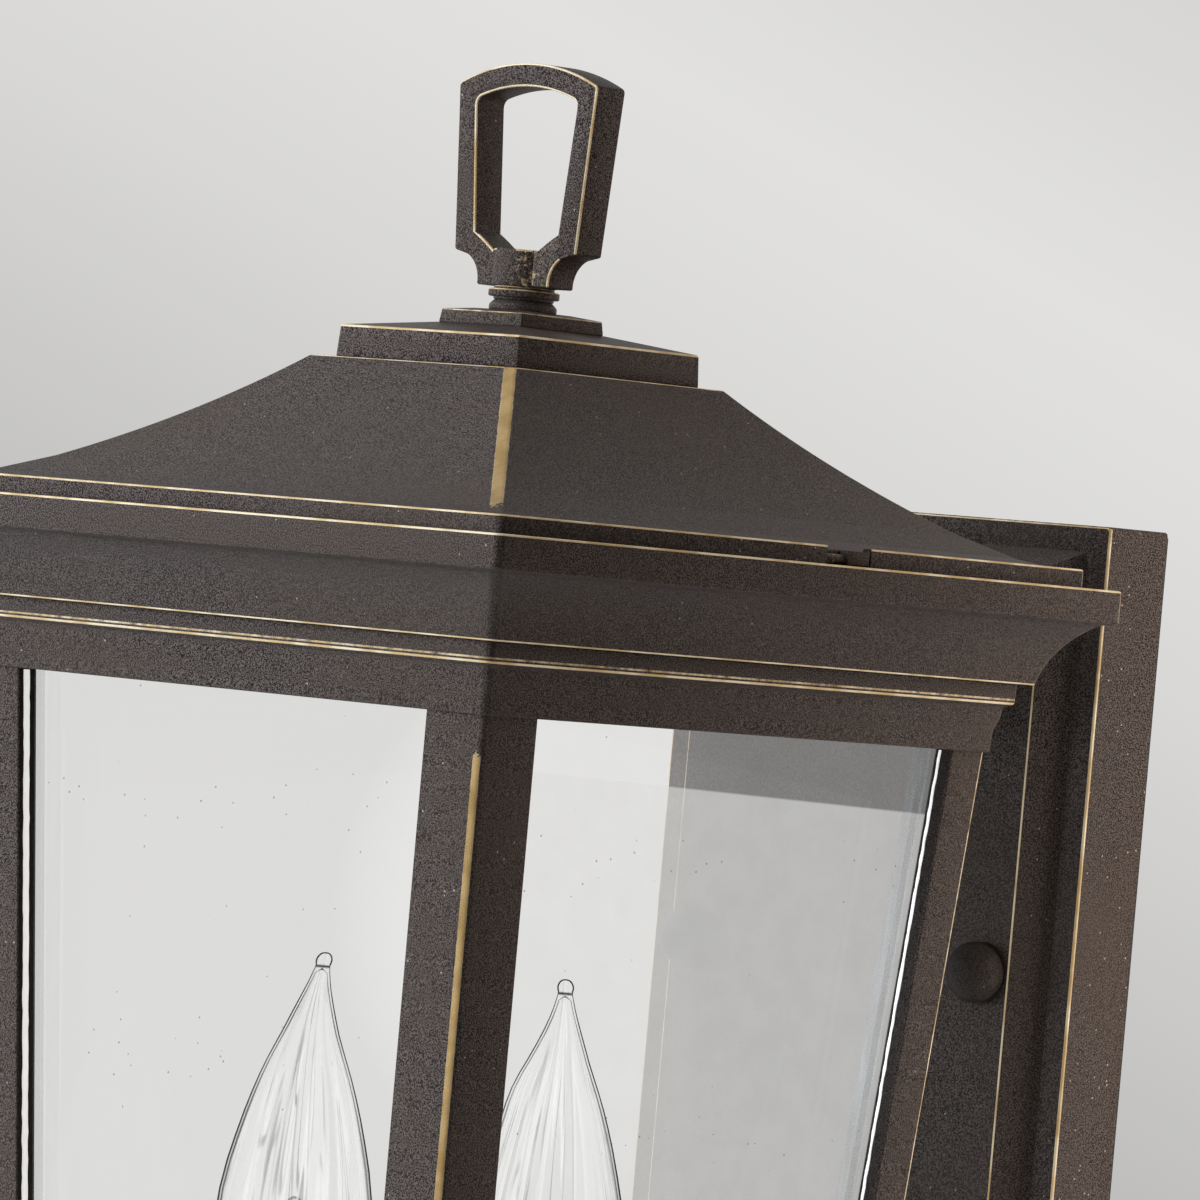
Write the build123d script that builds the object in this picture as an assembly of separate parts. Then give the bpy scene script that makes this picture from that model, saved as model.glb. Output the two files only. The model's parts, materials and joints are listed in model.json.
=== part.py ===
import math
import os

from build123d import *

# Outdoor wall lantern: a tapered four-sided cage with clear panes under a hipped roof, on an arm
# from a raised-panel wall plate. Millimetres. The origin is on the wall, at the centre of the
# outlet box; +Z is up and -Y points away from the wall.

# Lantern, placed from the wall and from the outlet centre
lantern_out = 145.5       # wall to the lantern's centre line
eave_height = 87.0        # top of the fascia above the outlet centre

# Crown moulding; heights are taken from the top of the fascia
fascia_half = 96.0
fascia_drop = 7.3
soffit_half = fascia_half - 2.7
soffit_drop = 7.8
cove_mid_half = fascia_half - 8.7
cove_mid_drop = 13.9
cove_foot_half = fascia_half - 12.0
cove_foot_drop = 22.0
rim_half = fascia_half - 6.1
rim_rise = 4.0
rim_wall = 2.5
crown_inner_half = fascia_half - 17.0
notch_front = 7.4         # catch notch through the rim, behind the centre line
notch_width = 13.6

# Top rail under the crown
rail_top_half = fascia_half - 14.7
rail_band_half = fascia_half - 14.9
rail_band_height = 4.5
rail_step_half = fascia_half - 16.6
rail_step_drop = 27.4
rail_neck_half = fascia_half - 16.9
rail_neck_drop = 29.9
rail_foot_half = fascia_half - 18.1
rail_foot_drop = 37.4
rail_foot_taper_drop = 32.5
rail_foot_taper_half = fascia_half - 17.8

# Cage
cage_top_half = fascia_half - 19.5    # outer corner of the posts under the rail
cage_lean = 0.0595        # inward lean, mm per mm of height
post_length = 220.0
post_thickness = 5.0
post_leg = 10.0
front_left_leg = 9.0
front_right_leg = 17.2     # across the front face
front_right_side_leg = 15.8
pane_thickness = 3.0
pane_cover = 6.5          # how far a pane runs up behind the rail and down into the foot frame
pane_side_gap = 0.5
bead_width = 2.8

# Foot of the cage
foot_overhang = 3.0
foot_height = 10.6
tray_thickness = 2.5
base_large_half = fascia_half - 46.0
base_large_height = 8.0
base_small_half = fascia_half - 64.0
base_small_height = 6.0
base_pitch = 3.0
base_wall = 2.5

# Roof
roof_wall = 2.5
roof_edge_rise = 3.2
roof_sweep_half = fascia_half - 17.0
roof_sweep_rise = 5.0
roof_low_half = fascia_half - 26.3
roof_low_rise = 9.1
roof_mid_half = fascia_half - 44.8
roof_mid_rise = 20.5
roof_top_half = fascia_half - 64.0
roof_top_rise = 35.8
cap_large_half = 28.0
cap_large_height = 7.1
cap_small_half = 12.7
cap_small_height = 3.0
cap_draft = 0.35
cap_pitch = 2.4
catch_depth = 2.6
catch_roll_radius = 1.0

# Finial, on a threaded stud
stud_radius = 3.0
collar_lower_radius = stud_radius + 4.4
collar_lower_height = 2.3
collar_lower_bevel = 1.1
collar_upper_radius = stud_radius + 4.75
collar_upper_height = 1.65
collar_neck_radius = stud_radius + 3.6
collar_groove = 0.65      # between the two collars
collar_neck_height = 0.7
collar_seat = 0.7
hub_radius = stud_radius + 4.3
hub_height = 8.0
hub_roof = 2.0
loop_foot_half = 11.0
loop_cove_half = 12.5     # middle of the concave corner over the foot
loop_cove_rise = 4.9
loop_ledge_half = 15.0
loop_ledge_rise = 6.6
loop_low_half = 18.6
loop_low_rise = 7.4
loop_top_half = 21.2
loop_top_rise = 43.9
loop_peak_rise = 48.5
loop_depth_top = 8.8
loop_depth_foot = 8.0
gap_foot_half = 6.6
gap_foot_rise = 7.6
gap_cove_half = 9.6
gap_cove_rise = 9.7
gap_low_half = 12.8
gap_low_rise = 11.6
gap_top_half = 15.6
gap_top_rise = 40.5
gap_peak_rise = 43.4
gap_corner_radius = 2.0
loop_corner_radius = 1.2

# Cross bar and roof stud
bar_width = 14.0
bar_thickness = 2.0
bar_drop = 6.0
bar_screw_radius = 1.5
lug_length = 9.0
lug_height = 6.0
nut_flat = 2 * stud_radius + 4.0
nut_height = 4.0

# Outlet box fixing
fixing_spacing = 88.9
fixing_radius = 2.1
fixing_hole_radius = 2.6
box_slot_spacing = 69.85
box_slot_length = 9.0
box_slot_width = 4.8
strap_length = fixing_spacing + 21.1
strap_width = 19.0
strap_thickness = 2.0
strap_depth = 6.0
cap_nut_radius = 6.85
cap_nut_height = 8.5
cap_nut_rim = 3.0
cap_nut_bore = 6.0
ground_screw_radius = 2.4
ground_screw_flat = 9.0
ground_head_height = 3.0
lock_nut_flat = 8.7
lock_nut_height = 3.2
stud_head_height = 2.4

# Wall plate; its panel's face is just wider than the two cap nuts
panel_nut_margin = 1.0
panel_face_half = fixing_spacing / 2 + cap_nut_radius + panel_nut_margin
panel_foot_half = panel_face_half + 6.0
plate_half = panel_foot_half + 6.5
plate_top = 14.2          # above the top of the fascia
plate_below_arm = 15.5
plate_depth = 20.8
plate_wall = 2.5
panel_margin = 5.9
panel_bevel = 4.6
panel_face_depth = 28.0
gasket_thickness = 1.5
gasket_width = 5.0
gasket_inset = 1.2
weep_radius = 2.5

# Arm
arm_width = 26.0
arm_height = 20.0
arm_wall = 3.0
arm_pad_half = 24.0
arm_pad_chamfer = 4.0
arm_flange_half = 22.0
arm_flange_thickness = 4.0
arm_screw_radius = 2.0
arm_screw_offset = 16.0
wire_hole_radius = 7.0

# Drop finial under the arm
drop_stud_radius = 3.0
drop_collar_radius = 15.0
drop_collar_height = 3.5
drop_ball_radius = 11.0
drop_neck_radius = 6.0
drop_neck_height = 4.0
drop_tip_radius = 3.2

# Lamp cluster
nipple_radius = 4.95
nipple_bore = 3.5
nipple_nut_flat = 14.0
lamp_spacing = 63.2
lamp_turn = 15.7
lamp_shift = -3.5
cluster_width = 24.0
cluster_thickness = 2.0
lamp_base_radius = 5.9
socket_radius = lamp_base_radius + 2.3
socket_flange = socket_radius + 1.4
socket_flange_height = 4.0
socket_floor = 6.0
socket_leg_radius = 5.0
sleeve_gap = 0.3
sleeve_wall = 1.1
sleeve_radius = socket_flange + sleeve_gap + sleeve_wall
sleeve_below_glass = 2.0
lamp_tip_drop = 93.8
lamp_glass_length = 80.0
lamp_glass_neck = lamp_base_radius + 1.3
lamp_neck_length = 3.0
lamp_shape = (            # radius, share of the length
    (1.85, 0.021), (1.7, 0.039), (2.8, 0.091), (6.3, 0.227), (9.4, 0.325), (12.3, 0.429),
    (15.2, 0.571), (17.0, 0.701), (17.3, 0.792), (14.6, 0.890), (9.4, 0.961),
)
lamp_knob_radius = 1.35
lamp_knob_height = 0.55
lamp_hollow_tip = 1.5
lamp_base_length = 22.0
lamp_contact_length = 3.0
lamp_collar_length = 4.0
lamp_collar_radius = lamp_base_radius + 0.9
lamp_glass_wall = 0.9
lamp_stem_radius = 1.9
lamp_stem_length = 13.0
filament_radius = 0.35
filament_height = 12.0
filament_spread = 4.5
filament_bridge = 0.8
filament_bridge_height = 2.0
lead_radius = 1.1
lead_spacing = 1.3
lead_bend = 6.0
lead_rise = 60.0
wire_cap_foot_radius = 5.2
wire_cap_top_radius = 3.6
wire_cap_height = 18.0
wire_cap_spacing = 5.5
wire_cap_bore = 4.0

# Clearances
running_gap = 0.05
easy_gap = 0.3
bolt_gap = 0.2
slack_gap = 0.6


def half_at(drop):
    """Half width across the posts' outer faces at a depth below the top of the fascia."""
    return cage_top_half - (drop - rail_foot_drop) * cage_lean


post_foot_drop = rail_foot_drop + post_length
foot_half = half_at(post_foot_drop) + foot_overhang
foot_bottom_drop = post_foot_drop + foot_height
tray_drop = foot_bottom_drop + tray_thickness
base_large_drop = tray_drop + base_large_height
base_small_drop = base_large_drop + base_small_height
arm_drop = base_small_drop + arm_height / 2
arm_bottom_drop = base_small_drop + arm_height
plate_bottom = arm_bottom_drop + plate_below_arm
pane_top_drop = rail_foot_drop - pane_cover
pane_foot_drop = post_foot_drop + pane_cover
seat_half = half_at(pane_foot_drop) - post_thickness
cap_large_rise = roof_top_rise + cap_large_height
cap_small_rise = cap_large_rise + cap_pitch
collar_rise = cap_small_rise + cap_small_height + collar_seat
neck_rise = collar_rise + collar_lower_height
collar_upper_rise = neck_rise + collar_groove
finial_rise = collar_upper_rise + collar_upper_height + collar_neck_height
panel_face_y = -panel_face_depth
bar_screw_x = crown_inner_half - lug_length / 2
arm_z = eave_height - arm_drop
cluster_drop = pane_foot_drop - nut_height
lamp_seat_drop = cluster_drop - cluster_thickness
nipple_top = -lamp_seat_drop + nut_height + 1
lead_exit = nipple_top + lead_bend + 0.5
lamp_points = []
for lamp_side in (-1, 1):
    lamp_angle = math.radians(lamp_turn)
    lamp_points.append(
        (
            lamp_shift + lamp_side * lamp_spacing / 2 * math.cos(lamp_angle),
            lamp_shift + lamp_side * lamp_spacing / 2 * math.sin(lamp_angle),
        )
    )


def placed(shape):
    """Moves a piece from the lantern's own axes to the wall's."""
    return Pos(0, -lantern_out, eave_height) * shape


def block(x_span, y_span, z_span):
    """A box between two limits along each axis."""
    size = [high - low for low, high in (x_span, y_span, z_span)]
    centre = [(low + high) / 2 for low, high in (x_span, y_span, z_span)]
    return Pos(*centre) * Box(*size)


def square_block(half, low, high):
    """A square prism on the lantern's centre line."""
    return block((-half, half), (-half, half), (low, high))


def rod(radius, low, high, x=0.0, y=0.0):
    """An upright round bar between two heights."""
    return Pos(x, y, (low + high) / 2) * Cylinder(radius, high - low)


def wall_rod(radius, near, far, x=0.0, z=0.0):
    """A round bar square to the wall, between two distances from it."""
    return Pos(x, -(near + far) / 2, z) * Rot(90, 0, 0) * Cylinder(radius, far - near)


def hex_nut(flat, low, high, bore):
    """A hexagon nut round an upright bar."""
    nut = extrude(RegularPolygon(flat / 2, 6, major_radius=False), high - low)
    return Pos(0, 0, low) * nut - rod(bore, low - 1, high + 1)


def wall_nut(flat, near, far, bore, x, z):
    """A hexagon nut round a bar that is square to the wall."""
    nut = Rot(90, 0, 0) * hex_nut(flat, near, far, bore)
    return Pos(x, 0, z) * nut


def hipped(right_edges, low, high):
    """A four-sided form whose upright section is the given right-hand outline, mirrored."""
    left_edges = [edge.mirror(Plane.YZ) for edge in right_edges]
    bottom = Line((-low[0], 0, low[1]), (low[0], 0, low[1]))
    closing = [bottom]
    if high[0] > 0:
        closing.append(Line((-high[0], 0, high[1]), (high[0], 0, high[1])))
    section = make_face(Wire(list(right_edges) + left_edges + closing))
    reach = 2 * lantern_out
    across = extrude(section, reach / 2, dir=(0, 1, 0), both=True)
    return across & (Rot(0, 0, 90) * across)


def outline(points):
    """Straight edges through (half width, height) points."""
    return [
        Line((a[0], 0, a[1]), (b[0], 0, b[1]))
        for a, b in zip(points, points[1:])
    ]


def bent(start, middle, end):
    """An arc through three (half width, height) points."""
    return ThreePointArc((start[0], 0, start[1]), (middle[0], 0, middle[1]), (end[0], 0, end[1]))


def frustum(top_x, top_y, top_z, foot_x, foot_y, foot_z):
    """A block whose top and foot are rectangles of different size and place."""
    rings = []
    for x_span, y_span, z in ((foot_x, foot_y, foot_z), (top_x, top_y, top_z)):
        width = x_span[1] - x_span[0]
        depth = y_span[1] - y_span[0]
        centre = ((x_span[0] + x_span[1]) / 2, (y_span[0] + y_span[1]) / 2, z)
        rings.append(Pos(*centre) * Rectangle(width, depth))
    return loft(rings, ruled=True)


def crown():
    """Rim, fascia and cove in one casting, with lugs for the cross bar."""
    low = (cove_foot_half, -cove_foot_drop)
    soffit = (soffit_half, -soffit_drop)
    cove = bent(low, (cove_mid_half, -cove_mid_drop), soffit)
    upper = outline(
        [
            soffit,
            (fascia_half, -fascia_drop),
            (fascia_half, 0),
            (rim_half, 0),
            (rim_half, rim_rise),
        ]
    )
    body = hipped([cove] + upper, low, (rim_half, rim_rise))
    body -= square_block(crown_inner_half, -cove_foot_drop - 1, rim_rise + 1)
    body -= square_block(rim_half - rim_wall, 0, rim_rise + 1)
    for side in (-1, 1):
        middle = side * rim_half
        body -= block(
            (middle - 2 * rim_wall, middle + 2 * rim_wall),
            (notch_front, notch_front + notch_width),
            (0, rim_rise + 1),
        )
        inner = side * (crown_inner_half - lug_length)
        outer = side * (crown_inner_half + rim_wall)
        lug = block(
            (min(inner, outer), max(inner, outer)),
            (-bar_width / 2, bar_width / 2),
            (-bar_drop - lug_height, -bar_drop),
        )
        lug -= rod(bar_screw_radius, -bar_drop - lug_height - 1, -bar_drop + 1, side * bar_screw_x)
        body += lug
    return body


def top_rail():
    """Banded rail that carries the crown, over the posts."""
    foot = (rail_foot_half, -rail_foot_drop)
    top = (rail_top_half, -cove_foot_drop)
    edges = outline(
        [
            foot,
            (rail_foot_taper_half, -rail_foot_taper_drop),
            (rail_neck_half, -rail_neck_drop),
            (rail_step_half, -rail_step_drop),
            (rail_band_half, -cove_foot_drop - rail_band_height),
            top,
        ]
    )
    body = hipped(edges, foot, top)
    inner = half_at(pane_top_drop) - post_thickness + easy_gap
    return body - square_block(inner, -rail_foot_drop - 1, -cove_foot_drop + 1)


def post(side_x, side_y, leg_x, leg_y):
    """An angle post that leans in towards the foot with its legs at a constant width."""
    corner = cage_top_half
    face_leg = block((corner - leg_x, corner), (corner - post_thickness, corner), (0, 1))
    side_leg = block((corner - post_thickness, corner), (corner - leg_y, corner), (0, 1))
    section = (face_leg + side_leg).faces().sort_by(Axis.Z)[0]
    slope = Vector(-cage_lean, -cage_lean, -1)
    body = extrude(section, post_length * slope.length, dir=slope.normalized())
    body = Pos(0, 0, -rail_foot_drop) * body
    if side_x < 0:
        body = body.mirror(Plane.YZ)
    if side_y < 0:
        body = body.mirror(Plane.XZ)
    return body


def leaning_sheet(across, along):
    """A leaning sheet on the +Y side: inner and outer setback from the posts' outer face, and the
    side setback from the cage's corner line."""
    spans = []
    for drop in (pane_top_drop, pane_foot_drop):
        half = half_at(drop)
        spans.append(((-half + along, half - along), (half - across[1], half - across[0]), -drop))
    return frustum(*spans[0], *spans[1])


def pane(turn):
    """A clear pane; the side panes run past the edges of the front and rear ones."""
    outer = post_thickness
    inner = post_thickness + pane_thickness
    side = outer + pane_side_gap if turn in (90, 270) else inner + pane_side_gap
    return Rot(0, 0, turn) * leaning_sheet((outer, inner), side)


def glazing_beads():
    """Four corner beads that hold the panes against the posts."""
    start = post_thickness + pane_thickness
    beads = []
    for turn in range(0, 360, 90):
        spans = []
        for drop in (rail_foot_drop, post_foot_drop):
            corner = half_at(drop) - start
            spans.append(((corner - bead_width, corner), (corner - bead_width, corner), -drop))
        beads.append(Rot(0, 0, turn) * frustum(*spans[0], *spans[1]))
    return Compound(children=beads)


def foot_frame():
    """Square ring under the posts, round the lower edges of the panes."""
    foot = (foot_half - foot_overhang, -foot_bottom_drop)
    shoulder = (foot_half, -foot_bottom_drop + foot_overhang)
    top = (foot_half, -post_foot_drop)
    body = hipped(outline([foot, shoulder, top]), foot, top)
    inner = half_at(post_foot_drop) - post_thickness + easy_gap
    return body - square_block(inner, -foot_bottom_drop - 1, -post_foot_drop + 1)


def tray():
    """Floor pan: its raised middle carries the panes and the lamp cluster."""
    floor_half = foot_half - foot_overhang
    body = square_block(floor_half, -tray_drop, -foot_bottom_drop)
    body += square_block(seat_half, -foot_bottom_drop - tray_thickness / 2, -pane_foot_drop)
    body -= square_block(seat_half - tray_thickness, -tray_drop - 1, -pane_foot_drop - tray_thickness)
    return body - rod(nipple_radius + bolt_gap, -tray_drop - 1, -pane_foot_drop + 1)


def base_step(top_half, top_drop, height):
    """A square step of the stepped underside, drawn in at its lower edge and hollow from above,
    with a boss round the threaded tube."""
    foot = (top_half - base_pitch, -top_drop - height)
    shoulder = (top_half, -top_drop - height / 2)
    top = (top_half, -top_drop)
    body = hipped(outline([foot, shoulder, top]), foot, top)
    inner = top_half - base_pitch - base_wall
    body -= square_block(inner, -top_drop - height + base_wall, -top_drop + 1)
    body += rod(nipple_nut_flat / 2 + base_wall, -top_drop - height, -top_drop)
    return body - rod(nipple_radius + bolt_gap, -top_drop - height - 1, -top_drop + 1)


def roof():
    """Concave hipped roof, hollow underneath, with a flat top for the caps."""
    edge_half = rim_half - rim_wall - easy_gap
    solids = []
    for wall in (0.0, roof_wall):
        foot = (edge_half - wall, 0.0)
        edge = (edge_half - wall, roof_edge_rise - wall)
        sweep = (roof_sweep_half - wall / 2, roof_sweep_rise - wall)
        low = (roof_low_half - wall / 2, roof_low_rise - wall)
        mid = (roof_mid_half - wall / 2, roof_mid_rise - wall)
        top = (roof_top_half - wall / 2, roof_top_rise - wall)
        if wall:
            foot = (edge[0], -1.0)
        edges = outline([foot, edge, sweep, low]) + [bent(low, mid, top)]
        solids.append(hipped(edges, foot, top))
    body = solids[0] - solids[1]
    return body - rod(stud_radius + easy_gap, 0, roof_top_rise + 1)


def roof_catches():
    """Two tabs on the roof's edge that stand in the rim's notches: a rolled clip at the front and a
    plain block behind it."""
    edge = rim_half - rim_wall - easy_gap
    start = notch_front + easy_gap
    end = notch_front + notch_width - easy_gap
    middle = notch_front + notch_width / 2
    tabs = []
    for side in (-1, 1):
        tab = block((edge, edge + catch_depth / 3), (start, end), (easy_gap, roof_edge_rise - 1))
        tab += block((edge, edge + catch_depth), (middle, end), (easy_gap, roof_edge_rise))
        roll = Rot(90, 0, 0) * Cylinder(catch_roll_radius, middle - start)
        tab += Pos(edge + catch_roll_radius, (start + middle) / 2, easy_gap + catch_roll_radius) * roll
        tabs.append(tab if side > 0 else tab.mirror(Plane.YZ))
    return Compound(children=tabs)


def large_cap():
    """The lower cap: drafted sides and a shallow pyramid top, as wide there as the upper cap."""
    foot = (cap_large_half, roof_top_rise)
    shoulder = (cap_large_half - cap_draft, cap_large_rise)
    top = (cap_small_half, cap_small_rise)
    body = hipped(outline([foot, shoulder, top]), foot, top)
    return body - rod(stud_radius + easy_gap, roof_top_rise - 1, cap_small_rise + 1)


def small_cap():
    """The upper cap, whose low pyramid runs in to the collar."""
    shoulder = cap_small_rise + cap_small_height
    top = (collar_lower_radius, collar_rise)
    foot = (cap_small_half, cap_small_rise)
    edges = outline([foot, (cap_small_half - cap_draft, shoulder), top])
    body = hipped(edges, foot, top)
    return body - rod(stud_radius + easy_gap, cap_small_rise - 1, collar_rise + 1)


def lower_collar():
    """Round washer between the cap and the finial's own collar."""
    body = rod(collar_lower_radius, collar_rise, neck_rise)
    body = chamfer(body.edges().group_by(Axis.Z)[-1], collar_lower_bevel)
    return body - rod(stud_radius + easy_gap, collar_rise - 1, neck_rise + 1)


def upper_collar():
    """Round collar under the loop, on a short neck."""
    top = collar_upper_rise + collar_upper_height
    body = rod(collar_neck_radius, neck_rise, finial_rise)
    body += rod(collar_upper_radius, collar_upper_rise, top)
    return body - rod(stud_radius + running_gap, neck_rise - 1, finial_rise + 1)


def mirrored_outline(edges, arch_points, foot_half, foot_rise):
    """A flat face from right-hand edges, their mirror, an arch over them and a straight foot."""
    left = [edge.mirror(Plane.YZ) for edge in edges]
    arch = bent(*arch_points)
    base = Line((-foot_half, 0, foot_rise), (foot_half, 0, foot_rise))
    return make_face(Wire(edges + left + [arch, base]))


def finial_loop():
    """Keystone-shaped loop with an arched top and scooped lower corners, on a round hub that
    screws on the stud."""
    foot = finial_rise
    ledge = (loop_ledge_half, foot + loop_ledge_rise)
    low = (loop_low_half, foot + loop_low_rise)
    top = (loop_top_half, foot + loop_top_rise)
    cove = bent((loop_foot_half, foot), (loop_cove_half, foot + loop_cove_rise), ledge)
    arch = ((-top[0], top[1]), (0, foot + loop_peak_rise), top)
    form = mirrored_outline([cove] + outline([ledge, low, top]), arch, loop_foot_half, foot)
    form = fillet(form.vertices().group_by(Axis.Z)[-1], loop_corner_radius)
    body = extrude(form, loop_depth_top / 2, dir=(0, 1, 0), both=True)
    gap_low = (gap_low_half, foot + gap_low_rise)
    gap_top = (gap_top_half, foot + gap_top_rise)
    gap_foot = (gap_foot_half, foot + gap_foot_rise)
    gap_cove = bent(gap_foot, (gap_cove_half, foot + gap_cove_rise), gap_low)
    gap_arch = ((-gap_top[0], gap_top[1]), (0, foot + gap_peak_rise), gap_top)
    gap = mirrored_outline([gap_cove] + outline([gap_low, gap_top]), gap_arch, *gap_foot)
    gap = fillet(gap.vertices().group_by(Axis.Z)[-1], gap_corner_radius)
    body -= extrude(gap, loop_depth_top, dir=(0, 1, 0), both=True)
    side = make_face(
        Polyline(
            (0, -loop_depth_foot / 2, foot),
            (0, loop_depth_foot / 2, foot),
            (0, loop_depth_top / 2, foot + loop_top_rise),
            (0, loop_depth_top / 2, foot + loop_peak_rise + 1),
            (0, -loop_depth_top / 2, foot + loop_peak_rise + 1),
            (0, -loop_depth_top / 2, foot + loop_top_rise),
            close=True,
        )
    )
    body = body & extrude(side, 2 * loop_top_half, dir=(1, 0, 0), both=True)
    body += rod(hub_radius, foot, foot + hub_height)
    return body - rod(stud_radius + running_gap, foot - 1, foot + hub_height - hub_roof)


def cross_bar():
    """Flat steel bar across the crown that carries the roof stud."""
    half = crown_inner_half - bolt_gap
    body = block((-half, half), (-bar_width / 2, bar_width / 2), (-bar_drop, -bar_drop + bar_thickness))
    body -= rod(stud_radius + bolt_gap, -bar_drop - 1, -bar_drop + bar_thickness + 1)
    for side in (-1, 1):
        body -= rod(bar_screw_radius + bolt_gap, -bar_drop - 1, 0, side * bar_screw_x)
    return body


def cross_bar_screws():
    """Two pan-head screws that hold the cross bar on the crown's lugs."""
    head_low = -bar_drop + bar_thickness
    screws = []
    for side in (-1, 1):
        x = side * bar_screw_x
        screw = rod(bar_screw_radius, -bar_drop - lug_height, head_low, x)
        screw += rod(2 * bar_screw_radius, head_low, head_low + bar_screw_radius, x)
        screws.append(screw)
    return Compound(children=screws)


def roof_stud():
    """Threaded rod from the cross bar up into the finial's hub."""
    return rod(stud_radius, -bar_drop - 2 * nut_height, finial_rise + hub_height - hub_roof - 1)


def stud_nuts():
    """Hexagon nuts that clamp the stud to the cross bar, above and below it."""
    above = -bar_drop + bar_thickness
    return Compound(
        children=[
            hex_nut(nut_flat, above, above + nut_height, stud_radius),
            hex_nut(nut_flat, -bar_drop - nut_height, -bar_drop, stud_radius),
        ]
    )


def plate_form(setback, depth_cut):
    """The wall plate's outer form, or its cavity when set back by the wall."""
    top = plate_top + eave_height - setback
    low = eave_height - plate_bottom + setback
    box_depth = plate_depth - depth_cut
    body = block(
        (-plate_half + setback, plate_half - setback), (-box_depth, -gasket_thickness), (low, top)
    )
    foot_top = top - panel_margin
    foot_low = low + panel_margin
    bevel = panel_foot_half - panel_face_half
    rings = []
    for half, high, bottom, depth in (
        (panel_foot_half - setback, foot_top, foot_low, box_depth),
        (panel_foot_half - bevel - setback, foot_top - panel_bevel, foot_low + panel_bevel,
         panel_face_depth - depth_cut),
    ):
        centre = (0, -depth, (high + bottom) / 2)
        rings.append(Pos(*centre) * Rot(90, 0, 0) * Rectangle(2 * half, high - bottom))
    return body + loft(rings, ruled=True)


def wall_plate():
    """Cast wall plate: a rectangular pan with a bevelled raised panel, hollow at the back."""
    body = plate_form(0, 0) - plate_form(plate_wall, plate_wall)
    body -= block(
        (-plate_half + plate_wall, plate_half - plate_wall),
        (-plate_wall, 0),
        (eave_height - plate_bottom + plate_wall, plate_top + eave_height - plate_wall),
    )
    for side in (-1, 1):
        x = side * fixing_spacing / 2
        body -= wall_rod(fixing_hole_radius, plate_depth, panel_face_depth + 1, x)
        body -= wall_rod(arm_screw_radius + bolt_gap, plate_depth, panel_face_depth + 1,
                         side * arm_screw_offset, arm_z)
    body -= wall_rod(wire_hole_radius, plate_depth, panel_face_depth + 1, 0, arm_z)
    weep = rod(weep_radius, eave_height - plate_bottom - 1, eave_height - plate_bottom + plate_wall + 1,
               0, -plate_depth / 2)
    return body - weep


def wall_gasket():
    """Foam gasket between the plate's rim and the wall."""
    top = plate_top + eave_height - gasket_inset
    low = eave_height - plate_bottom + gasket_inset
    half = plate_half - gasket_inset
    body = block((-half, half), (-gasket_thickness, 0), (low, top))
    inner = half - gasket_width
    return body - block((-inner, inner), (-gasket_thickness - 1, 1),
                        (low + gasket_width, top - gasket_width))


def mounting_strap():
    """Steel strap on the outlet box that holds the two fixing studs."""
    half = strap_length / 2
    body = block((-half, half), (-strap_depth, -strap_depth + strap_thickness),
                 (-strap_width / 2, strap_width / 2))
    for side in (-1, 1):
        body -= wall_rod(fixing_radius, 0, strap_depth + 1, side * fixing_spacing / 2)
        slot = extrude(SlotOverall(box_slot_length, box_slot_width), 2 * strap_depth, both=True)
        body -= Pos(side * box_slot_spacing / 2, 0, 0) * Rot(90, 0, 0) * slot
    return body - wall_rod(ground_screw_radius, 0, strap_depth + 1, 0, 0)


def ground_screw():
    """Hexagon-head earthing screw in the middle of the strap."""
    body = wall_rod(ground_screw_radius, 1.0, strap_depth, 0, 0)
    head = extrude(RegularPolygon(ground_screw_flat / 2, 6, major_radius=False), ground_head_height)
    return body + Pos(0, -strap_depth, 0) * Rot(90, 0, 0) * head


def fixing_studs():
    """Two machine screws that stand out of the strap, through the plate."""
    far = panel_face_depth + cap_nut_bore - slack_gap
    studs = []
    for side in (-1, 1):
        x = side * fixing_spacing / 2
        stud = wall_rod(fixing_radius, strap_depth - strap_thickness, far, x)
        stud += wall_rod(2 * fixing_radius, strap_depth - strap_thickness - stud_head_height,
                         strap_depth - strap_thickness, x)
        studs.append(stud)
    return Compound(children=studs)


def stud_lock_nuts():
    """Hexagon nuts that lock the studs to the strap."""
    nuts = []
    for side in (-1, 1):
        x = side * fixing_spacing / 2
        far = strap_depth + lock_nut_height
        nuts.append(wall_nut(lock_nut_flat, strap_depth, far, fixing_radius, x, 0))
    return Compound(children=nuts)


def cap_nut(side):
    """Low domed cap nut that screws on a fixing stud against the panel."""
    x = side * fixing_spacing / 2
    body = wall_rod(cap_nut_radius, panel_face_depth, panel_face_depth + cap_nut_rim, x)
    dome_rise = cap_nut_height - cap_nut_rim
    sphere_radius = (cap_nut_radius ** 2 + dome_rise ** 2) / (2 * dome_rise)
    dome = Pos(x, -(panel_face_depth + cap_nut_height - sphere_radius), 0) * Sphere(sphere_radius)
    keep = wall_rod(cap_nut_radius, panel_face_depth + cap_nut_rim, panel_face_depth + cap_nut_height, x)
    body += dome & keep
    return body - wall_rod(fixing_radius + running_gap, panel_face_depth - 1,
                           panel_face_depth + cap_nut_bore, x)


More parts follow.
